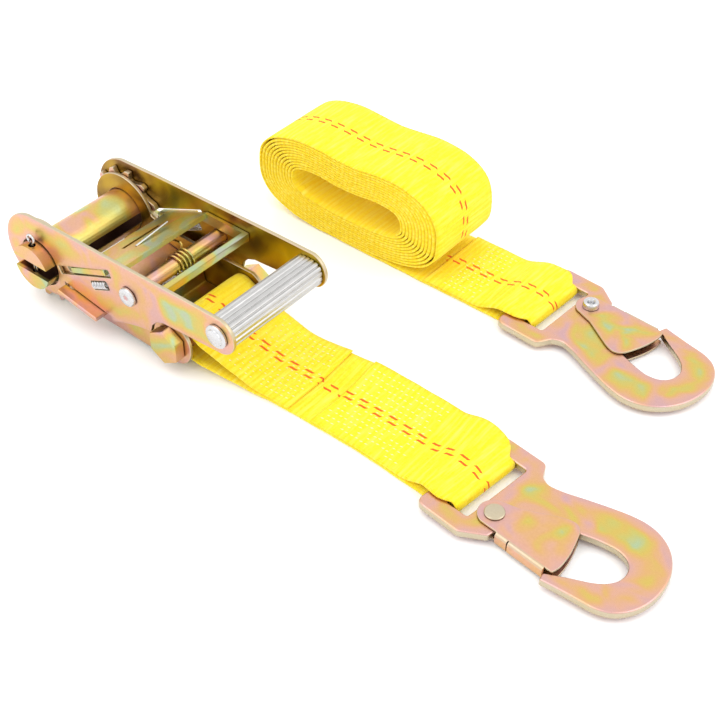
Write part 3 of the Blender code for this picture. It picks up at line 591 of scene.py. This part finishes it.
lock_slot = rounded(slab((0.0, LOCK_OFFSET), LOCK_ANGLE, LOCK_TIP - 0.6, LOCK_HEEL + 4.6,
                         -LOCK_T / 2 - 0.35, LOCK_T / 2 + 0.35), 0.4, 2)
frame_outline = (
    arc(0, 0, EAR_R, 14, 262, 60)
    + [(30, -21.8), (74, -22.3)]
    + arc(*BOLT, FRAME_END_R, 262, 430, 36)
    + [(56, 2.2), (38, 2.2), (28, 3.4)])
frame_holes = [circle(0, 0, MANDREL_R + 0.4, 64), circle(*BOLT, BOLT_R + 0.3), lock_slot]
side_pair("frame_side", [frame_outline] + frame_holes, FRAME_IN, FRAME_T, 0.35, "frame", "frame_plate",
          (ZINC_PLATE, ZINC_FAR))

tooth = ((WHEEL_R, 0.0), (WHEEL_R - 0.5, 7.5), (WHEEL_ROOT + 1.2, 16.5), (WHEEL_ROOT, 24.0),
         (WHEEL_ROOT, 28.6))                     # (radius, degrees along)
wheel_outline = rounded([(r * math.cos(math.radians(TOOTH_START + 360 / TEETH * k + a)),
                          r * math.sin(math.radians(TOOTH_START + 360 / TEETH * k + a)))
                         for k in range(TEETH) for r, a in tooth], 0.9, 2)
side_pair("toothed_wheel", [wheel_outline, circle(0, 0, MANDREL_R + GAP, 64)], WHEEL_IN, WHEEL_T, 0.35,
          "mandrel", "ratchet_wheel", (ZINC_WHEEL, ZINC_WHEEL))

lock_slope = math.tan(math.radians(LOCK_ANGLE))
lock_edge = [(u, LOCK_OFFSET + u * lock_slope + LOCK_T / 2 + 0.5) for u in (18.6, 53.2)]
handle_outline = (
    arc(-1.5, 4.6, 23.4, 97, 262, 60)
    + [(5, -18.4), (11, -17.2), (15.6, -13.6), (18.0, -9.0)] + lock_edge
    + [(53.9, -12.4), (57.5, -10.9), (62, -8.8), (73, -5.4), (83.2, -3.0), (84.6, 1.6), (88, 5.2),
       (93, 7.2), (100, 7.6), (116, 8.8)]
    + arc(*GRIP, 10.6, 266, 438, 36)
    + [(110, 30.6), (70, 29.8), (20, 28.8)])
drive_slot = rounded(slab((0.0, DRIVE_OFFSET), DRIVE_ANGLE, 17.4, DRIVE_HEEL + 4.8, -2.35, 2.35),
                     [0.5, 1, 1, 0.5], 3)
spring_window = rounded(slab(SPRING_AT, SPRING_ANGLE, -7.0, 7.0, -2.6, 2.6), 1.0, 3)
handle_holes = [circle(0, 0, 14.0, 64), drive_slot, circle(*TIE, TIE_R + GAP), circle(*GRIP, GRIP_HOLE_R),
                spring_window]
side_pair("handle_side", [handle_outline] + handle_holes, HANDLE_IN, HANDLE_T, 0.45, "handle",
          "handle_plate", (ZINC_PLATE, ZINC_FAR))

# Fluted aluminium grip: a squarish rounded bar with grooves along it
FLUTES, FLUTE_DEPTH, FLUTE_POINTS = 18, 0.85, 12
GRIP_HALF_U, GRIP_HALF_V, GRIP_POWER = 9.0, 7.6, 2.8
grip_outline = []
for k in range(FLUTES * FLUTE_POINTS):
    a = 2 * math.pi * k / (FLUTES * FLUTE_POINTS)
    c, s = math.cos(a), math.sin(a)
    bar = (abs(c / GRIP_HALF_U) ** GRIP_POWER + abs(s / GRIP_HALF_V) ** GRIP_POWER) ** (-1 / GRIP_POWER)
    r = bar - FLUTE_DEPTH * max(0.0, math.cos(a * FLUTES)) ** 3
    grip_outline.append((GRIP[0] + r * c, GRIP[1] + r * s))
grip_mesh = plate_mesh([grip_outline, circle(*GRIP, GRIP_HOLE_R)], 2 * (HANDLE_IN - GAP),
                       ratchet_place(0), 0.3)
weighted(new_piece("fluted_grip", grip_mesh, ALUMINIUM, "handle", "aluminium", "grip_bar"))

# Bright heads of the grip rivet and of the tie rod, as (radius, height) profiles
HEAD_AT = HANDLE_OUT + GAP
grip_head = [(0, 2.7), (3.9, 2.7), (4.5, 2.35), (4.7, 1.7), (5.5, 1.5), (6.2, 1.35), (6.5, 1.0),
             (6.5, 0.0)]
half_rod = [(r, h + HEAD_AT) for r, h in grip_head] + [(4.0, HEAD_AT)]
rod_mesh = lathe_mesh(half_rod + [(r, -h) for r, h in reversed(half_rod)], turned_place(GRIP, 0, 1))
new_piece("grip_rivet_bright", rod_mesh, STEEL, "handle", "steel", "grip_rivet")
tie_head = [(0, 1.0), (1.0, 1.1), (1.5, 1.9), (2.6, 2.15), (4.2, 2.1), (5.0, 1.7), (5.4, 1.0),
            (5.4, 0.1), (0, 0.1)]
for side, tag in SIDES:
    head_mesh = lathe_mesh(tie_head, turned_place(TIE, side * HEAD_AT, side))
    new_piece(f"tie_rod_head_{tag}", head_mesh, STEEL, "handle", "steel")

# ---- kept CAD nodes, with rounded edges --------------------------------------
for node, mat, width in (
        ("mandrel_half_upper", ZINC_MANDREL, 0.5), ("mandrel_half_lower", ZINC_MANDREL, 0.5),
        ("frame_base_plate", ZINC_PAWL, 0.3), ("anchor_nut", ZINC_BOLT, 0.5),
        ("anchor_bolt", ZINC_BOLT, 0.6), ("anchor_spacer", ZINC_ROUND, 0.3),
        ("drive_pawl", ZINC_PAWL, 0.35), ("lock_pawl", ZINC_LOCK, 0.35),
        ("handle_tie_rod", ZINC_ROUND, 0.3)):
    dress(node, mat, width)
for node in ("hook_1_spring", "hook_2_spring", "lock_pawl_spring", "split_pin_near", "split_pin_far"):
    dress(node, STEEL)
dress("tie_rod_spring", ZINC_BOLT)


def pull_plate_lip():
    """The lifted lip beside the slit in the pull plate, tilted up a little along its length."""
    reach, off_middle, above, thick = 48.4, 4.0, 2.7, 0.8
    slope, tilt = math.radians(DRIVE_ANGLE), math.radians(4.5)
    normal = Vector((-math.sin(slope), 0, math.cos(slope)))
    along = Vector((0, math.cos(tilt), 0)) + normal * math.sin(tilt)
    down = Vector((-math.cos(slope), 0, -math.sin(slope)))
    plate_point = Vector((reach, off_middle, DRIVE_OFFSET + reach * math.tan(slope)))
    centre = AXIS + plate_point * MM + normal * above * MM
    place = Matrix.Translation(centre) @ Matrix((along, down, normal)).transposed().to_4x4()
    outline = rounded([(-12, -0.75), (12, -0.55), (12, 0.55), (-12, 0.75)], 0.4, 3)
    mesh = plate_mesh([outline], thick, place, 0.25, 2)
    new_piece("pull_plate_lip", mesh, STEEL, "drive_pawl", "zinc")


def wire_piece(name, points, radius, mat, body, slot, node):
    """Round wire along smooth points (mm, part plan)."""
    curve = bpy.data.curves.new(name, "CURVE")
    curve.dimensions = "3D"
    curve.bevel_depth = radius * MM
    curve.bevel_resolution = 3
    curve.use_fill_caps = True
    spline = curve.splines.new("POLY")
    spline.points.add(len(points) - 1)
    for pt, co in zip(spline.points, points):
        pt.co = (*(Vector(co) * MM + SHIFT), 1)
    raw = bpy.data.objects.new(name + "_path", curve)
    bpy.context.scene.collection.objects.link(raw)
    deps = bpy.context.evaluated_depsgraph_get()
    mesh = bpy.data.meshes.new_from_object(raw.evaluated_get(deps))
    bpy.data.objects.remove(raw, do_unlink=True)
    mesh.shade_smooth()
    new_piece(name, mesh, mat, body, slot, node)


def release_springs(turns=8, per_turn=22):
    """Fine coils in the windows of the handle's sides."""
    lean = math.radians(SPRING_ANGLE)
    axis = Vector((math.cos(lean), 0.0, math.sin(lean)))
    cross = Vector((0, 1, 0))
    upward = axis.cross(cross)
    steps = turns * per_turn
    for side, tag in SIDES:
        middle = MANDREL + Vector((SPRING_AT[0], side * (HANDLE_IN + 1.1), SPRING_AT[1]))
        points = []
        for i in range(steps + 1):
            a = 2 * math.pi * i / per_turn
            points.append(middle + axis * (SPRING_LENGTH * (i / steps - 0.5))
                          + (cross * math.cos(a) + upward * math.sin(a)) * SPRING_R)
        wire_piece(f"release_spring_{tag}", points, SPRING_WIRE_R, STEEL, "handle", "steel",
                   f"pawl_spring_{tag}")


pull_plate_lip()
release_springs()

# ---- flat snap hooks ---------------------------------------------------------
SMOOTH = 60.0                       # corner radius that turns a run of points into one curve
hook_corners = (                    # (u, v, corner radius; 0 stands for SMOOTH)
    (-22, 30.5, 5), (4.9, 30.4, 4), (9.4, 22.7, 3), (14.2, 20.5, 0), (22, 22.4, 0), (31, 26.0, 0),
    (42, 30.0, 0), (52, 33.2, 0), (60, 34.6, 0), (67, 34.0, 0), (74, 31.4, 0), (80, 26.8, 0),
    (85, 20.0, 0), (88, 12.0, 0), (89.2, 3.0, 0), (88.4, -5.0, 0), (85.6, -12.0, 0), (81, -17.6, 0),
    (74.5, -20.8, 0), (62, -22.6, 0), (51, -24.6, 0), (47.4, -25.3, 1), (46.0, -21.0, 1.5),
    (50.0, -18.4, 0), (57.5, -14.0, 0), (64.5, -10.0, 0), (69.2, -6.0, 0), (71.9, -1.2, 0),
    (72.2, 3.6, 0), (70.4, 8.2, 0), (66.4, 11.2, 0), (60.5, 12.3, 0), (52, 10.6, 0), (43, 7.6, 0),
    (34, 3.2, 0), (26, -2.4, 0), (20, -8.4, 0), (16.6, -13.0, 0), (16.2, -18.0, 1.5),
    (15.4, -22.8, 2), (4.0, -30.5, 4), (-22, -30.5, 5))
hook_outline = rounded([c[:2] for c in hook_corners], [c[2] or SMOOTH for c in hook_corners], 5)
slot_outline = rounded([(SLOT_START, -SLOT_HALF), (SLOT_END, -SLOT_HALF), (SLOT_END, SLOT_HALF),
                        (SLOT_START, SLOT_HALF)], 1.5, 4)
pivot_hole = circle(*RIVET_AT, RIVET_R + GAP, 32)
flange_corners = [(*p, 0) for p in arc(*RIVET_AT, 8.0, 118, 262, 24)] + [
    (16.4, -19.0, 1), (17.6, FOLD_BEND, 0.4), (49.4, FOLD_BEND, 1.0), (50.2, -14.5, SMOOTH),
    (48.8, -6.0, SMOOTH), (46.0, 2.0, SMOOTH), (43.6, 7.4, SMOOTH), (41.4, 9.8, SMOOTH),
    (38.4, 10.6, SMOOTH), (34.5, 9.6, SMOOTH), (31.0, 7.8, SMOOTH), (15.8, -0.9, 10)]
gate_flange = rounded([c[:2] for c in flange_corners], [c[2] for c in flange_corners], 5)
FLANGE_IN = HOOK_T / 2 + GAP        # inner faces of the gate's two flanges, from its middle
GATE_HALF = FLANGE_IN + GATE_T
# Profiles (radius, height over the gate) of the rivet's solid and rolled heads
SOLID_HEAD = ((0, 1.0), (3.6, 0.95), (4.5, 0.75), (4.9, 0.35), (4.9, 0.0))
FLAT_ROLL = ((0, 0.1), (1.6, 0.1), (2.2, 0.7), (3.2, 0.85), (4.3, 0.6), (4.9, 0.0))
TALL_ROLL = ((0, 0.6), (1.3, 0.6), (1.7, 1.9), (2.3, 2.7), (3.2, 2.9), (4.0, 2.5), (4.4, 1.5),
             (4.5, 0.0))


def folded_wall(u0, u1, inset=0.0):
    """A length of the gate's outer wall with its two rounded folds, from u0 to u1."""
    centre_v, centre_z = FOLD_V + inset + FOLD_R, GATE_HALF - FOLD_R
    lap = FOLD_BEND + 0.8
    outer = [(lap, GATE_HALF - 0.02), (FOLD_BEND, GATE_HALF - 0.02)] + [
        (centre_v - FOLD_R * math.sin(a), centre_z + FOLD_R * math.cos(a))
        for a in np.linspace(0.25, math.pi / 2, 7)]
    inner_r = FOLD_R - GATE_T
    inner = [(lap, FLANGE_IN)] + [
        (centre_v - inner_r * math.sin(a), centre_z + inner_r * math.cos(a))
        for a in np.linspace(0, math.pi / 2, 5)]
    outer += [(v, -z) for v, z in reversed(outer)]
    inner += [(v, -z) for v, z in reversed(inner)]
    section = outer + inner[::-1]
    count = len(section)
    stations = [u0, u0 + 0.25, (u0 + u1) / 2, u1 - 0.25, u1]
    verts = [(u * MM, v * MM, z * MM) for u in stations for v, z in section]
    faces = []
    for start in range(0, (len(stations) - 1) * count, count):
        for k in range(count):
            m = (k + 1) % count
            faces.append((start + k, start + m, start + count + m, start + count + k))
    last = (len(stations) - 1) * count
    faces += [tuple(reversed(range(count))), tuple(range(last, last + count))]
    mesh = bpy.data.meshes.new("wall")
    mesh.from_pydata(verts, [], faces)
    face_outward(mesh)
    # edge_mm is 0.15 round the two folds, which gives them the painted edge highlight, and 1.6 on the
    # flat middle of the wall.
    keep_edge_distance(mesh, [0.15 if abs(z) > centre_z + 0.1 else 1.6
                              for _ in stations for v, z in section])
    return mesh


def gate_sheet(tag, place):
    """The gate: a flange on each side of the hook and the outer wall between them, with a nick."""
    parts = []
    for sign in (-1, 1):
        raised = place @ Matrix.Translation((0, 0, sign * (FLANGE_IN + GATE_T / 2) * MM))
        parts.append(plate_mesh([gate_flange, pivot_hole], GATE_T, raised, 0.3, 3, 2.5))
    for u0, u1, inset in ((17.7, 24.4, 0.25), (25.2, 45.3, 0.0)):
        wall = folded_wall(u0, u1, inset)
        wall.transform(place)
        parts.append(wall)
    mesh = join_meshes(parts)
    mesh.set_sharp_from_angle(angle=math.radians(50))
    weighted(new_piece(f"{tag}_gate_sheet", mesh, ZINC_GATE, f"{tag}_gate", "zinc", f"{tag}_gate"))


def gate_rivet(tag, place, rolled, mat, holder):
    """The pivot, with its solid head up in the hook's own frame and a rolled one below."""
    seat = GATE_HALF + GAP
    profile = ([(r, h + seat) for r, h in SOLID_HEAD] + [(RIVET_R, seat), (RIVET_R, -seat)]
               + [(r, -h - seat) for r, h in reversed(rolled)])
    mesh = lathe_mesh(profile, place @ Matrix.Translation(Vector((*RIVET_AT, 0)) * MM))
    new_piece(f"{tag}_pivot", mesh, mat, holder, "zinc", f"{tag}_rivet")


for tag, (at, yaw, flip) in HOOKS.items():
    place = (Matrix.Translation(Vector((*at, HOOK_Z + HOOK_T / 2)) * MM + SHIFT)
             @ Matrix.Rotation(math.radians(yaw), 4, "Z")
             @ Matrix.Rotation(math.pi if flip else 0.0, 4, "X"))
    holder = "long_strap" if flip else "frame"
    body_mesh = plate_mesh([hook_outline, slot_outline, pivot_hole], HOOK_T, place, 1.05, 5)
    weighted(new_piece(f"{tag}_plate", body_mesh, ZINC_HOOK, holder, "zinc", f"{tag}_body"))
    gate_sheet(tag, place)
    gate_rivet(tag, place, TALL_ROLL if flip else FLAT_ROLL, STEEL if flip else ZINC_GATE, holder)


# ---- webbing -----------------------------------------------------------------
CURL, CURL_POWER = 4.4, 1.4       # how high the short strap's far edge curls, and how sharply
TOP_END, LOW_END = 96.0, 80.0     # where the curl is over in the top and the low layer


def smooth(t):
    """Eased step from 0 to 1."""
    t = min(max(t, 0.0), 1.0)
    return t * t * (3 - 2 * t)


def short_y(x):
    """Centre line of the short strap: it curves a little sideways between bolt and hook."""
    if x <= SHORT_LINE[0][0]:
        return SHORT_LINE[0][1]
    for (x0, y0), (x1, y1) in zip(SHORT_LINE, SHORT_LINE[1:]):
        if x <= x1:
            return y0 + (y1 - y0) * (x - x0) / (x1 - x0)
    return SHORT_LINE[-1][1] + (x - SHORT_LINE[-1][0]) * -0.09


def far_lift(x, until=TOP_END):
    """How far the short strap's far edge curls up off the floor, gone by x = until, mm."""
    return CURL * smooth((x + 35) / 40) * (1 - smooth((x - until + 14) / 14))


def low_lift(x):
    return far_lift(x, LOW_END)


def no_lift(*_):
    return 0.0


def curl(x, v):
    """Height that the curl adds at v mm across the short strap."""
    return far_lift(x) * max(v / (WEB_W / 2), 0.0) ** CURL_POWER


def resample(path, step):
    """Rows at even steps along the path (x, z, half width, middle y, skew, thickness left and
    right of the path, far edge's lift), and each row's distance along it."""
    rows = np.array(path, float)
    gaps = np.linalg.norm(np.diff(rows[:, :2], axis=0), axis=1)
    rows = rows[np.concatenate([[True], gaps > 1e-4])]
    gaps = np.linalg.norm(np.diff(rows[:, :2], axis=0), axis=1)
    s = np.concatenate([[0], np.cumsum(gaps)])
    at = np.linspace(0, s[-1], max(int(s[-1] / step), 2) + 1)
    return np.stack([np.interp(at, s, rows[:, k]) for k in range(rows.shape[1])], 1), at


def eased(values):
    """Each value averaged with its two neighbours on either side."""
    return np.convolve(np.pad(values, 2, mode="edge"), np.ones(5) / 5, mode="valid")


def webbing_mesh(path, step=RIB / 4, across=14, rib=0.16):
    """Closed ribbon of woven webbing with real cross ribs and a millimetre uv map.
    Returns the mesh and the strap's length in mm."""
    rows, along = resample(path, step)
    count, ring = len(rows), 2 * across
    tangent = np.gradient(rows[:, :2], axis=0)
    tangent = np.stack([eased(tangent[:, 0]), eased(tangent[:, 1])], 1)
    tangent /= np.maximum(np.linalg.norm(tangent, axis=1, keepdims=True), 1e-9)
    normal = np.stack([-tangent[:, 1], tangent[:, 0]], 1)
    ridge = rib * (np.abs(np.sin(math.pi * along / RIB)) ** 0.8 - 0.6)
    width = rows[:, 2] * (1 + 0.004 * np.sin(along / 7.1) + 0.003 * np.sin(along / 2.9 + 1.0))
    spread = np.linspace(-1, 1, across)
    skew = np.radians(rows[:, 4])
    verts = np.zeros((count, ring, 3))
    for face, (side, thickness, order) in enumerate(((1, 5, spread), (-1, 6, spread[::-1]))):
        thin = 1 - 0.35 * np.abs(order) ** 10
        reach = (rows[:, thickness] + ridge)[:, None] * thin[None, :]
        v = width[:, None] * order[None, :]
        block = slice(face * across, (face + 1) * across)
        verts[:, block, 0] = rows[:, 0:1] + side * normal[:, 0:1] * reach + v * np.sin(skew)[:, None]
        verts[:, block, 1] = rows[:, 3:4] + v * np.cos(skew)[:, None]
        verts[:, block, 2] = (rows[:, 1:2] + side * normal[:, 1:2] * reach
                              + rows[:, 7:8] * np.maximum(order, 0)[None, :] ** CURL_POWER)
    index = np.arange(count * ring).reshape(count, ring)
    a, b = index[:-1], np.roll(index, -1, 1)[:-1]
    c, d = np.roll(index, -1, 1)[1:], index[1:]
    faces = [tuple(q) for q in np.stack([a, d, c, b], -1).reshape(-1, 4).tolist()]
    faces += [tuple(index[0].tolist()), tuple(reversed(index[-1].tolist()))]
    mesh = bpy.data.meshes.new("webbing")
    mesh.from_pydata((verts.reshape(-1, 3) * MM).tolist(), [], faces)
    corners = np.zeros(len(mesh.loops), int)
    mesh.loops.foreach_get("vertex_index", corners)
    u = np.concatenate([spread, spread[::-1]]) * WEB_W / 2
    uv = np.stack([u[corners % ring], along[corners // ring]], 1)
    mesh.uv_layers.new(name="mm").data.foreach_set("uv", uv.reshape(-1))
    mesh.transform(Matrix.Translation(SHIFT))
    mesh.shade_smooth()
    bm = bmesh.new()
    bm.from_mesh(mesh)
    if bm.calc_volume(signed=True) < 0:
        bmesh.ops.reverse_faces(bm, faces=bm.faces)
    bm.to_mesh(mesh)
    bm.free()
    return mesh, float(along[-1])


def flat_row(x, z, y, lift=0.0):
    return (x, z, WEB_W / 2, y, 0.0, HALF_T, HALF_T, lift)


def hook_loop(at, yaw, strap_y, top_curl=no_lift, low_curl=no_lift):
    """Returned end at a hook's bar, from the sewn top layer out and back underneath. It turns,
    narrows and leans over into line with the hook's slot."""
    fold_r = (HOOK_Z + HOOK_T + 0.4 + HALF_T - WEB_LOW) / 2
    fold_x = at[0] - 5.2 * math.cos(math.radians(yaw)) - HALF_T - fold_r
    raised = WEB_LOW + 2 * fold_r
    narrow, wide = SLOT_HALF - 0.4, WEB_W / 2
    fold_steps = 30

    def section(x, z, turn, pinch, lift=0.0):
        hook_y = at[1] + (at[0] - x) * math.tan(math.radians(-yaw)) + 2.4 * (1 - pinch)
        return (x, z, wide + (narrow - wide) * pinch, strap_y(x) + (hook_y - strap_y(x)) * turn,
                -yaw * turn, HALF_T, HALF_T, lift)

    out = []
    for x in np.arange(-36, 0.01, 1.0):
        z = WEB_TOP + (raised - WEB_TOP) * smooth((x + 34) / 18)
        out.append(section(fold_x + x, z, smooth((x + 24) / 20), max((x + 8) / 8, 0.0) ** 2,
                           top_curl(fold_x + x)))
    for k in range(1, fold_steps):
        a = math.pi / 2 - math.pi * k / fold_steps
        out.append(section(fold_x + fold_r * math.cos(a), WEB_LOW + fold_r + fold_r * math.sin(a),
                           1.0, 1.0))
    for x in np.arange(0, -22.01, -1.0):
        out.append(section(fold_x + x, WEB_LOW, smooth((x + 12) / 11), smooth((x + 8) / 7),
                           low_curl(fold_x + x)))
    return out


def bent_line(x0, z0, meet_x, meet_z, x1, n):
    """Straight from (x0, z0) to a bend at meet_x, then level to x1, with the bend eased."""
    out = []
    for i in range(n + 1):
        x = x0 + (x1 - x0) * i / n
        d = (meet_x - x) / 6.0
        ease = 6.0 * math.log1p(math.exp(max(min(d, 30), -30))) * abs(meet_z - z0) / (meet_x - x0)
        out.append((x, meet_z + (ease if z0 > meet_z else -ease)))
    return out


# Short strap: from the sewn end over the bolt's tube, along the floor, through hook 1 and back
OVER, UNDER = 62, 200              # degrees: where the top layer meets the tube, how far round it goes
bolt_x, bolt_z = MANDREL.x + BOLT[0], MANDREL.z + BOLT[1]
wrap_r = SPACER_R + GAP + HALF_T
wrap = arc(bolt_x, bolt_z, wrap_r, OVER, OVER + UNDER, 48)
over_x, over_z = wrap[0]
meet_x = over_x + (over_z - WEB_TOP) / math.tan(math.radians(28))
top_layer = [wrap[0]] + bent_line(over_x, over_z, meet_x, WEB_TOP, -7.0, 60)[1:]
under_x, under_z = wrap[-1]
floor_x = under_x + (under_z - WEB_LOW) / math.tan(math.radians(8))
low_layer = bent_line(under_x, under_z, floor_x, WEB_LOW, floor_x + 22, 40)[1:]
low_layer += [(x, WEB_LOW) for x in (8.0, 22.0, 36.0, 50.0)]

short_path = [flat_row(x, z, short_y(x), far_lift(x)) for x, z in reversed(top_layer)]
short_path += [flat_row(x, z, short_y(bolt_x)) for x, z in wrap[1:]]
short_path += [flat_row(x, z, short_y(x), low_lift(x)) for x, z in low_layer]
short_path += reversed(hook_loop(*HOOKS["hook_1"][:2], short_y, far_lift, low_lift))
short_path += [flat_row(x, WEB_TOP, short_y(x), far_lift(x)) for x in (50.0, 36.0, 22.0, 8.0)]
short_mesh, short_length = webbing_mesh(short_path)
short_web = new_piece("short_webbing", short_mesh, WEB_SHORT, "frame", "webbing", "short_strap")

# Long strap: from the sewn end through hook 2 and back along the floor, then rolled up
ROLL_STEPS = 150                   # points in a turn
ROLL_FIRST = 5                     # the floor run already covers the roll's first points
roll_end = ROLL_TURNS - 1 / 6


def roll_row(turn):
    """A point of the roll: its outermost turn is 0, and the strap winds inwards from below."""
    a = -math.pi / 2 - 2 * math.pi * turn
    c, s = math.cos(a), math.sin(a)
    half_x, half_z = ROLL_A - ROLL_STEP_A * turn, ROLL_B - ROLL_STEP_B * turn
    x = ROLL_X + half_x * math.copysign(abs(c) ** (2 / ROLL_POWER), c)
    z = WEB_LOW + ROLL_B + half_z * math.copysign(abs(s) ** (2 / ROLL_POWER), s)
    if s > 0:
        z -= ROLL_DIP * math.exp(-((x - ROLL_X) / 22.0) ** 2) * smooth(s * 1.6)
        z += ROLL_RISE * smooth((x - ROLL_X) / 50.0) * smooth(s * 1.6)
    pitch = ROLL_STEP_B + (ROLL_STEP_A - ROLL_STEP_B) * abs(c) ** 1.5
    full = smooth((turn - 0.9) / 0.3) * smooth((roll_end - 0.4 - turn) / 0.3)
    inward = HALF_T + max(pitch - 0.09 - WEB_T, 0.0) * full
    return (x, z, WEB_W / 2, LONG_Y, 0.0, HALF_T, inward, 0.0)


long_path = [flat_row(x, WEB_TOP, LONG_Y) for x in (-17.0, 0.0)]
long_path += hook_loop(*HOOKS["hook_2"][:2], lambda x: LONG_Y)
long_path += [flat_row(x, WEB_LOW, LONG_Y) for x in (15, -10, -30, -50)]
long_path += [roll_row(i / ROLL_STEPS) for i in range(ROLL_FIRST, int(roll_end * ROLL_STEPS))]
long_mesh, long_length = webbing_mesh(long_path)
long_web = new_piece("long_webbing", long_mesh, WEB_LONG, "long_strap", "webbing", "long_strap")


# ---- stitching ---------------------------------------------------------------
STITCH_ROW, STITCH_HALF, MISSING = 3.4, 20.5, 0.12
STITCH_OVER = HALF_T + 0.05        # a stitch's middle, over the middle of its layer
STITCH_FACES = ((0, 2, 4), (2, 1, 4), (1, 3, 4), (3, 0, 4), (2, 0, 5), (1, 2, 5), (3, 1, 5),
                (0, 3, 5))


def stitch_mesh(zones):
    """Short raised stitches in lengthwise rows, a few of them missing. A zone is (x0, x1, height,
    middle, lift): height and middle depend on x, and lift on x and the distance across."""
    verts, faces = [], []
    rng = np.random.default_rng(7)
    for x0, x1, height, middle, lift in zones:
        rows = np.arange(-STITCH_HALF, STITCH_HALF + 0.01, STITCH_ROW)
        for r, across in enumerate(rows):
            for x in np.arange(x0 + (RIB / 2 if r % 2 else 0.0), x1, RIB):
                wobble = rng.normal(0, 0.18, 3)
                if rng.random() < MISSING:
                    continue
                cx, cy = x + wobble[0], middle(x) + across + wobble[1]
                cz = height(x) + lift(x, across)
                length, wide, tall = 1.15 + 0.2 * wobble[2], 0.42, 0.30
                base = len(verts)
                verts += [(cx - length, cy - 0.15, cz - 0.05), (cx + length, cy + 0.15, cz - 0.05),
                          (cx, cy - wide, cz - 0.1), (cx, cy + wide, cz - 0.1),
                          (cx, cy, cz + tall), (cx, cy, cz - 0.4)]
                faces += [(base + p, base + q, base + s) for p, q, s in STITCH_FACES]
    mesh = bpy.data.meshes.new("stitches")
    mesh.from_pydata([Vector(v) * MM for v in verts], [], faces)
    mesh.transform(Matrix.Translation(SHIFT))
    mesh.shade_smooth()
    return mesh


def bolt_side_height(x):
    """Height of the stitches where the short strap comes down from the bolt."""
    return float(np.interp(x, *zip(*sorted(top_layer)))) + STITCH_OVER


def flat_height(x):
    return WEB_TOP + STITCH_OVER


short_stitch = new_piece(
    "short_stitching", stitch_mesh([(-46.0, -9.0, bolt_side_height, short_y, curl),
                                    (11.0, 58.0, flat_height, short_y, curl)]),
    THREAD, "frame", "webbing")
long_stitch = new_piece(
    "long_stitching", stitch_mesh([(-6.0, 14.0, flat_height, lambda x: LONG_Y, no_lift)]),
    THREAD, "long_strap", "webbing")

# ---- studio: white floor and world, soft light, camera -----------------------
def studio_floor(size=8.0, below=0.0002):
    n = Nodes("studio_floor")
    coord = n.add("ShaderNodeTexCoord").outputs["Object"]
    cloud = n.remap(n.noise(coord, 30.0), 0.3, 0.7, 0.0, 1.0)
    n.set(Base_Color=n.mix(cloud, (0.97, 0.97, 0.97, 1.0), (0.95, 0.95, 0.95, 1.0)), Roughness=0.9,
          Specular_IOR_Level=0.1)
    bpy.ops.mesh.primitive_plane_add(size=size, location=(0, 0, -below))
    floor = bpy.context.object
    floor.name = "studio_floor"
    floor.data.materials.append(n.mat)


def white_world(strength):
    world = bpy.data.worlds.new("studio")
    world.use_nodes = True
    background = world.node_tree.nodes["Background"]
    background.inputs[0].default_value = (1.0, 1.0, 1.0, 1.0)
    background.inputs[1].default_value = strength
    bpy.context.scene.world = world


def area_light(name, location, size, energy):
    """Soft square light that points at the layout's middle; metres and watts."""
    data = bpy.data.lights.new(name, "AREA")
    data.size, data.energy = size, energy
    ob = bpy.data.objects.new(name, data)
    ob.location = location
    ob.rotation_euler = (-Vector(location)).to_track_quat("-Z", "Y").to_euler()
    bpy.context.scene.collection.objects.link(ob)


def place_camera(spot, aim, lens):
    """Camera at a point of the part's own plan, mm, that looks along aim."""
    camera = bpy.data.objects.new("camera", bpy.data.cameras.new("camera"))
    camera.data.lens, camera.data.sensor_width = lens, 36.0
    camera.data.clip_start, camera.data.clip_end = 0.01, 20.0
    camera.location = Vector(spot) * MM + SHIFT
    camera.rotation_euler = Vector(aim).to_track_quat("-Z", "Y").to_euler()
    bpy.context.scene.collection.objects.link(camera)
    bpy.context.scene.camera = camera


studio_floor()
white_world(1.32)
area_light("key", (-0.5, -0.7, 1.3), 1.4, 7.0)
area_light("fill", (0.9, 0.3, 1.0), 1.2, 5.0)
place_camera((337.1, -409.0, 480.0), (-0.474, 0.575, -0.667), 70.0)
bpy.context.scene.view_settings.view_transform = "Standard"
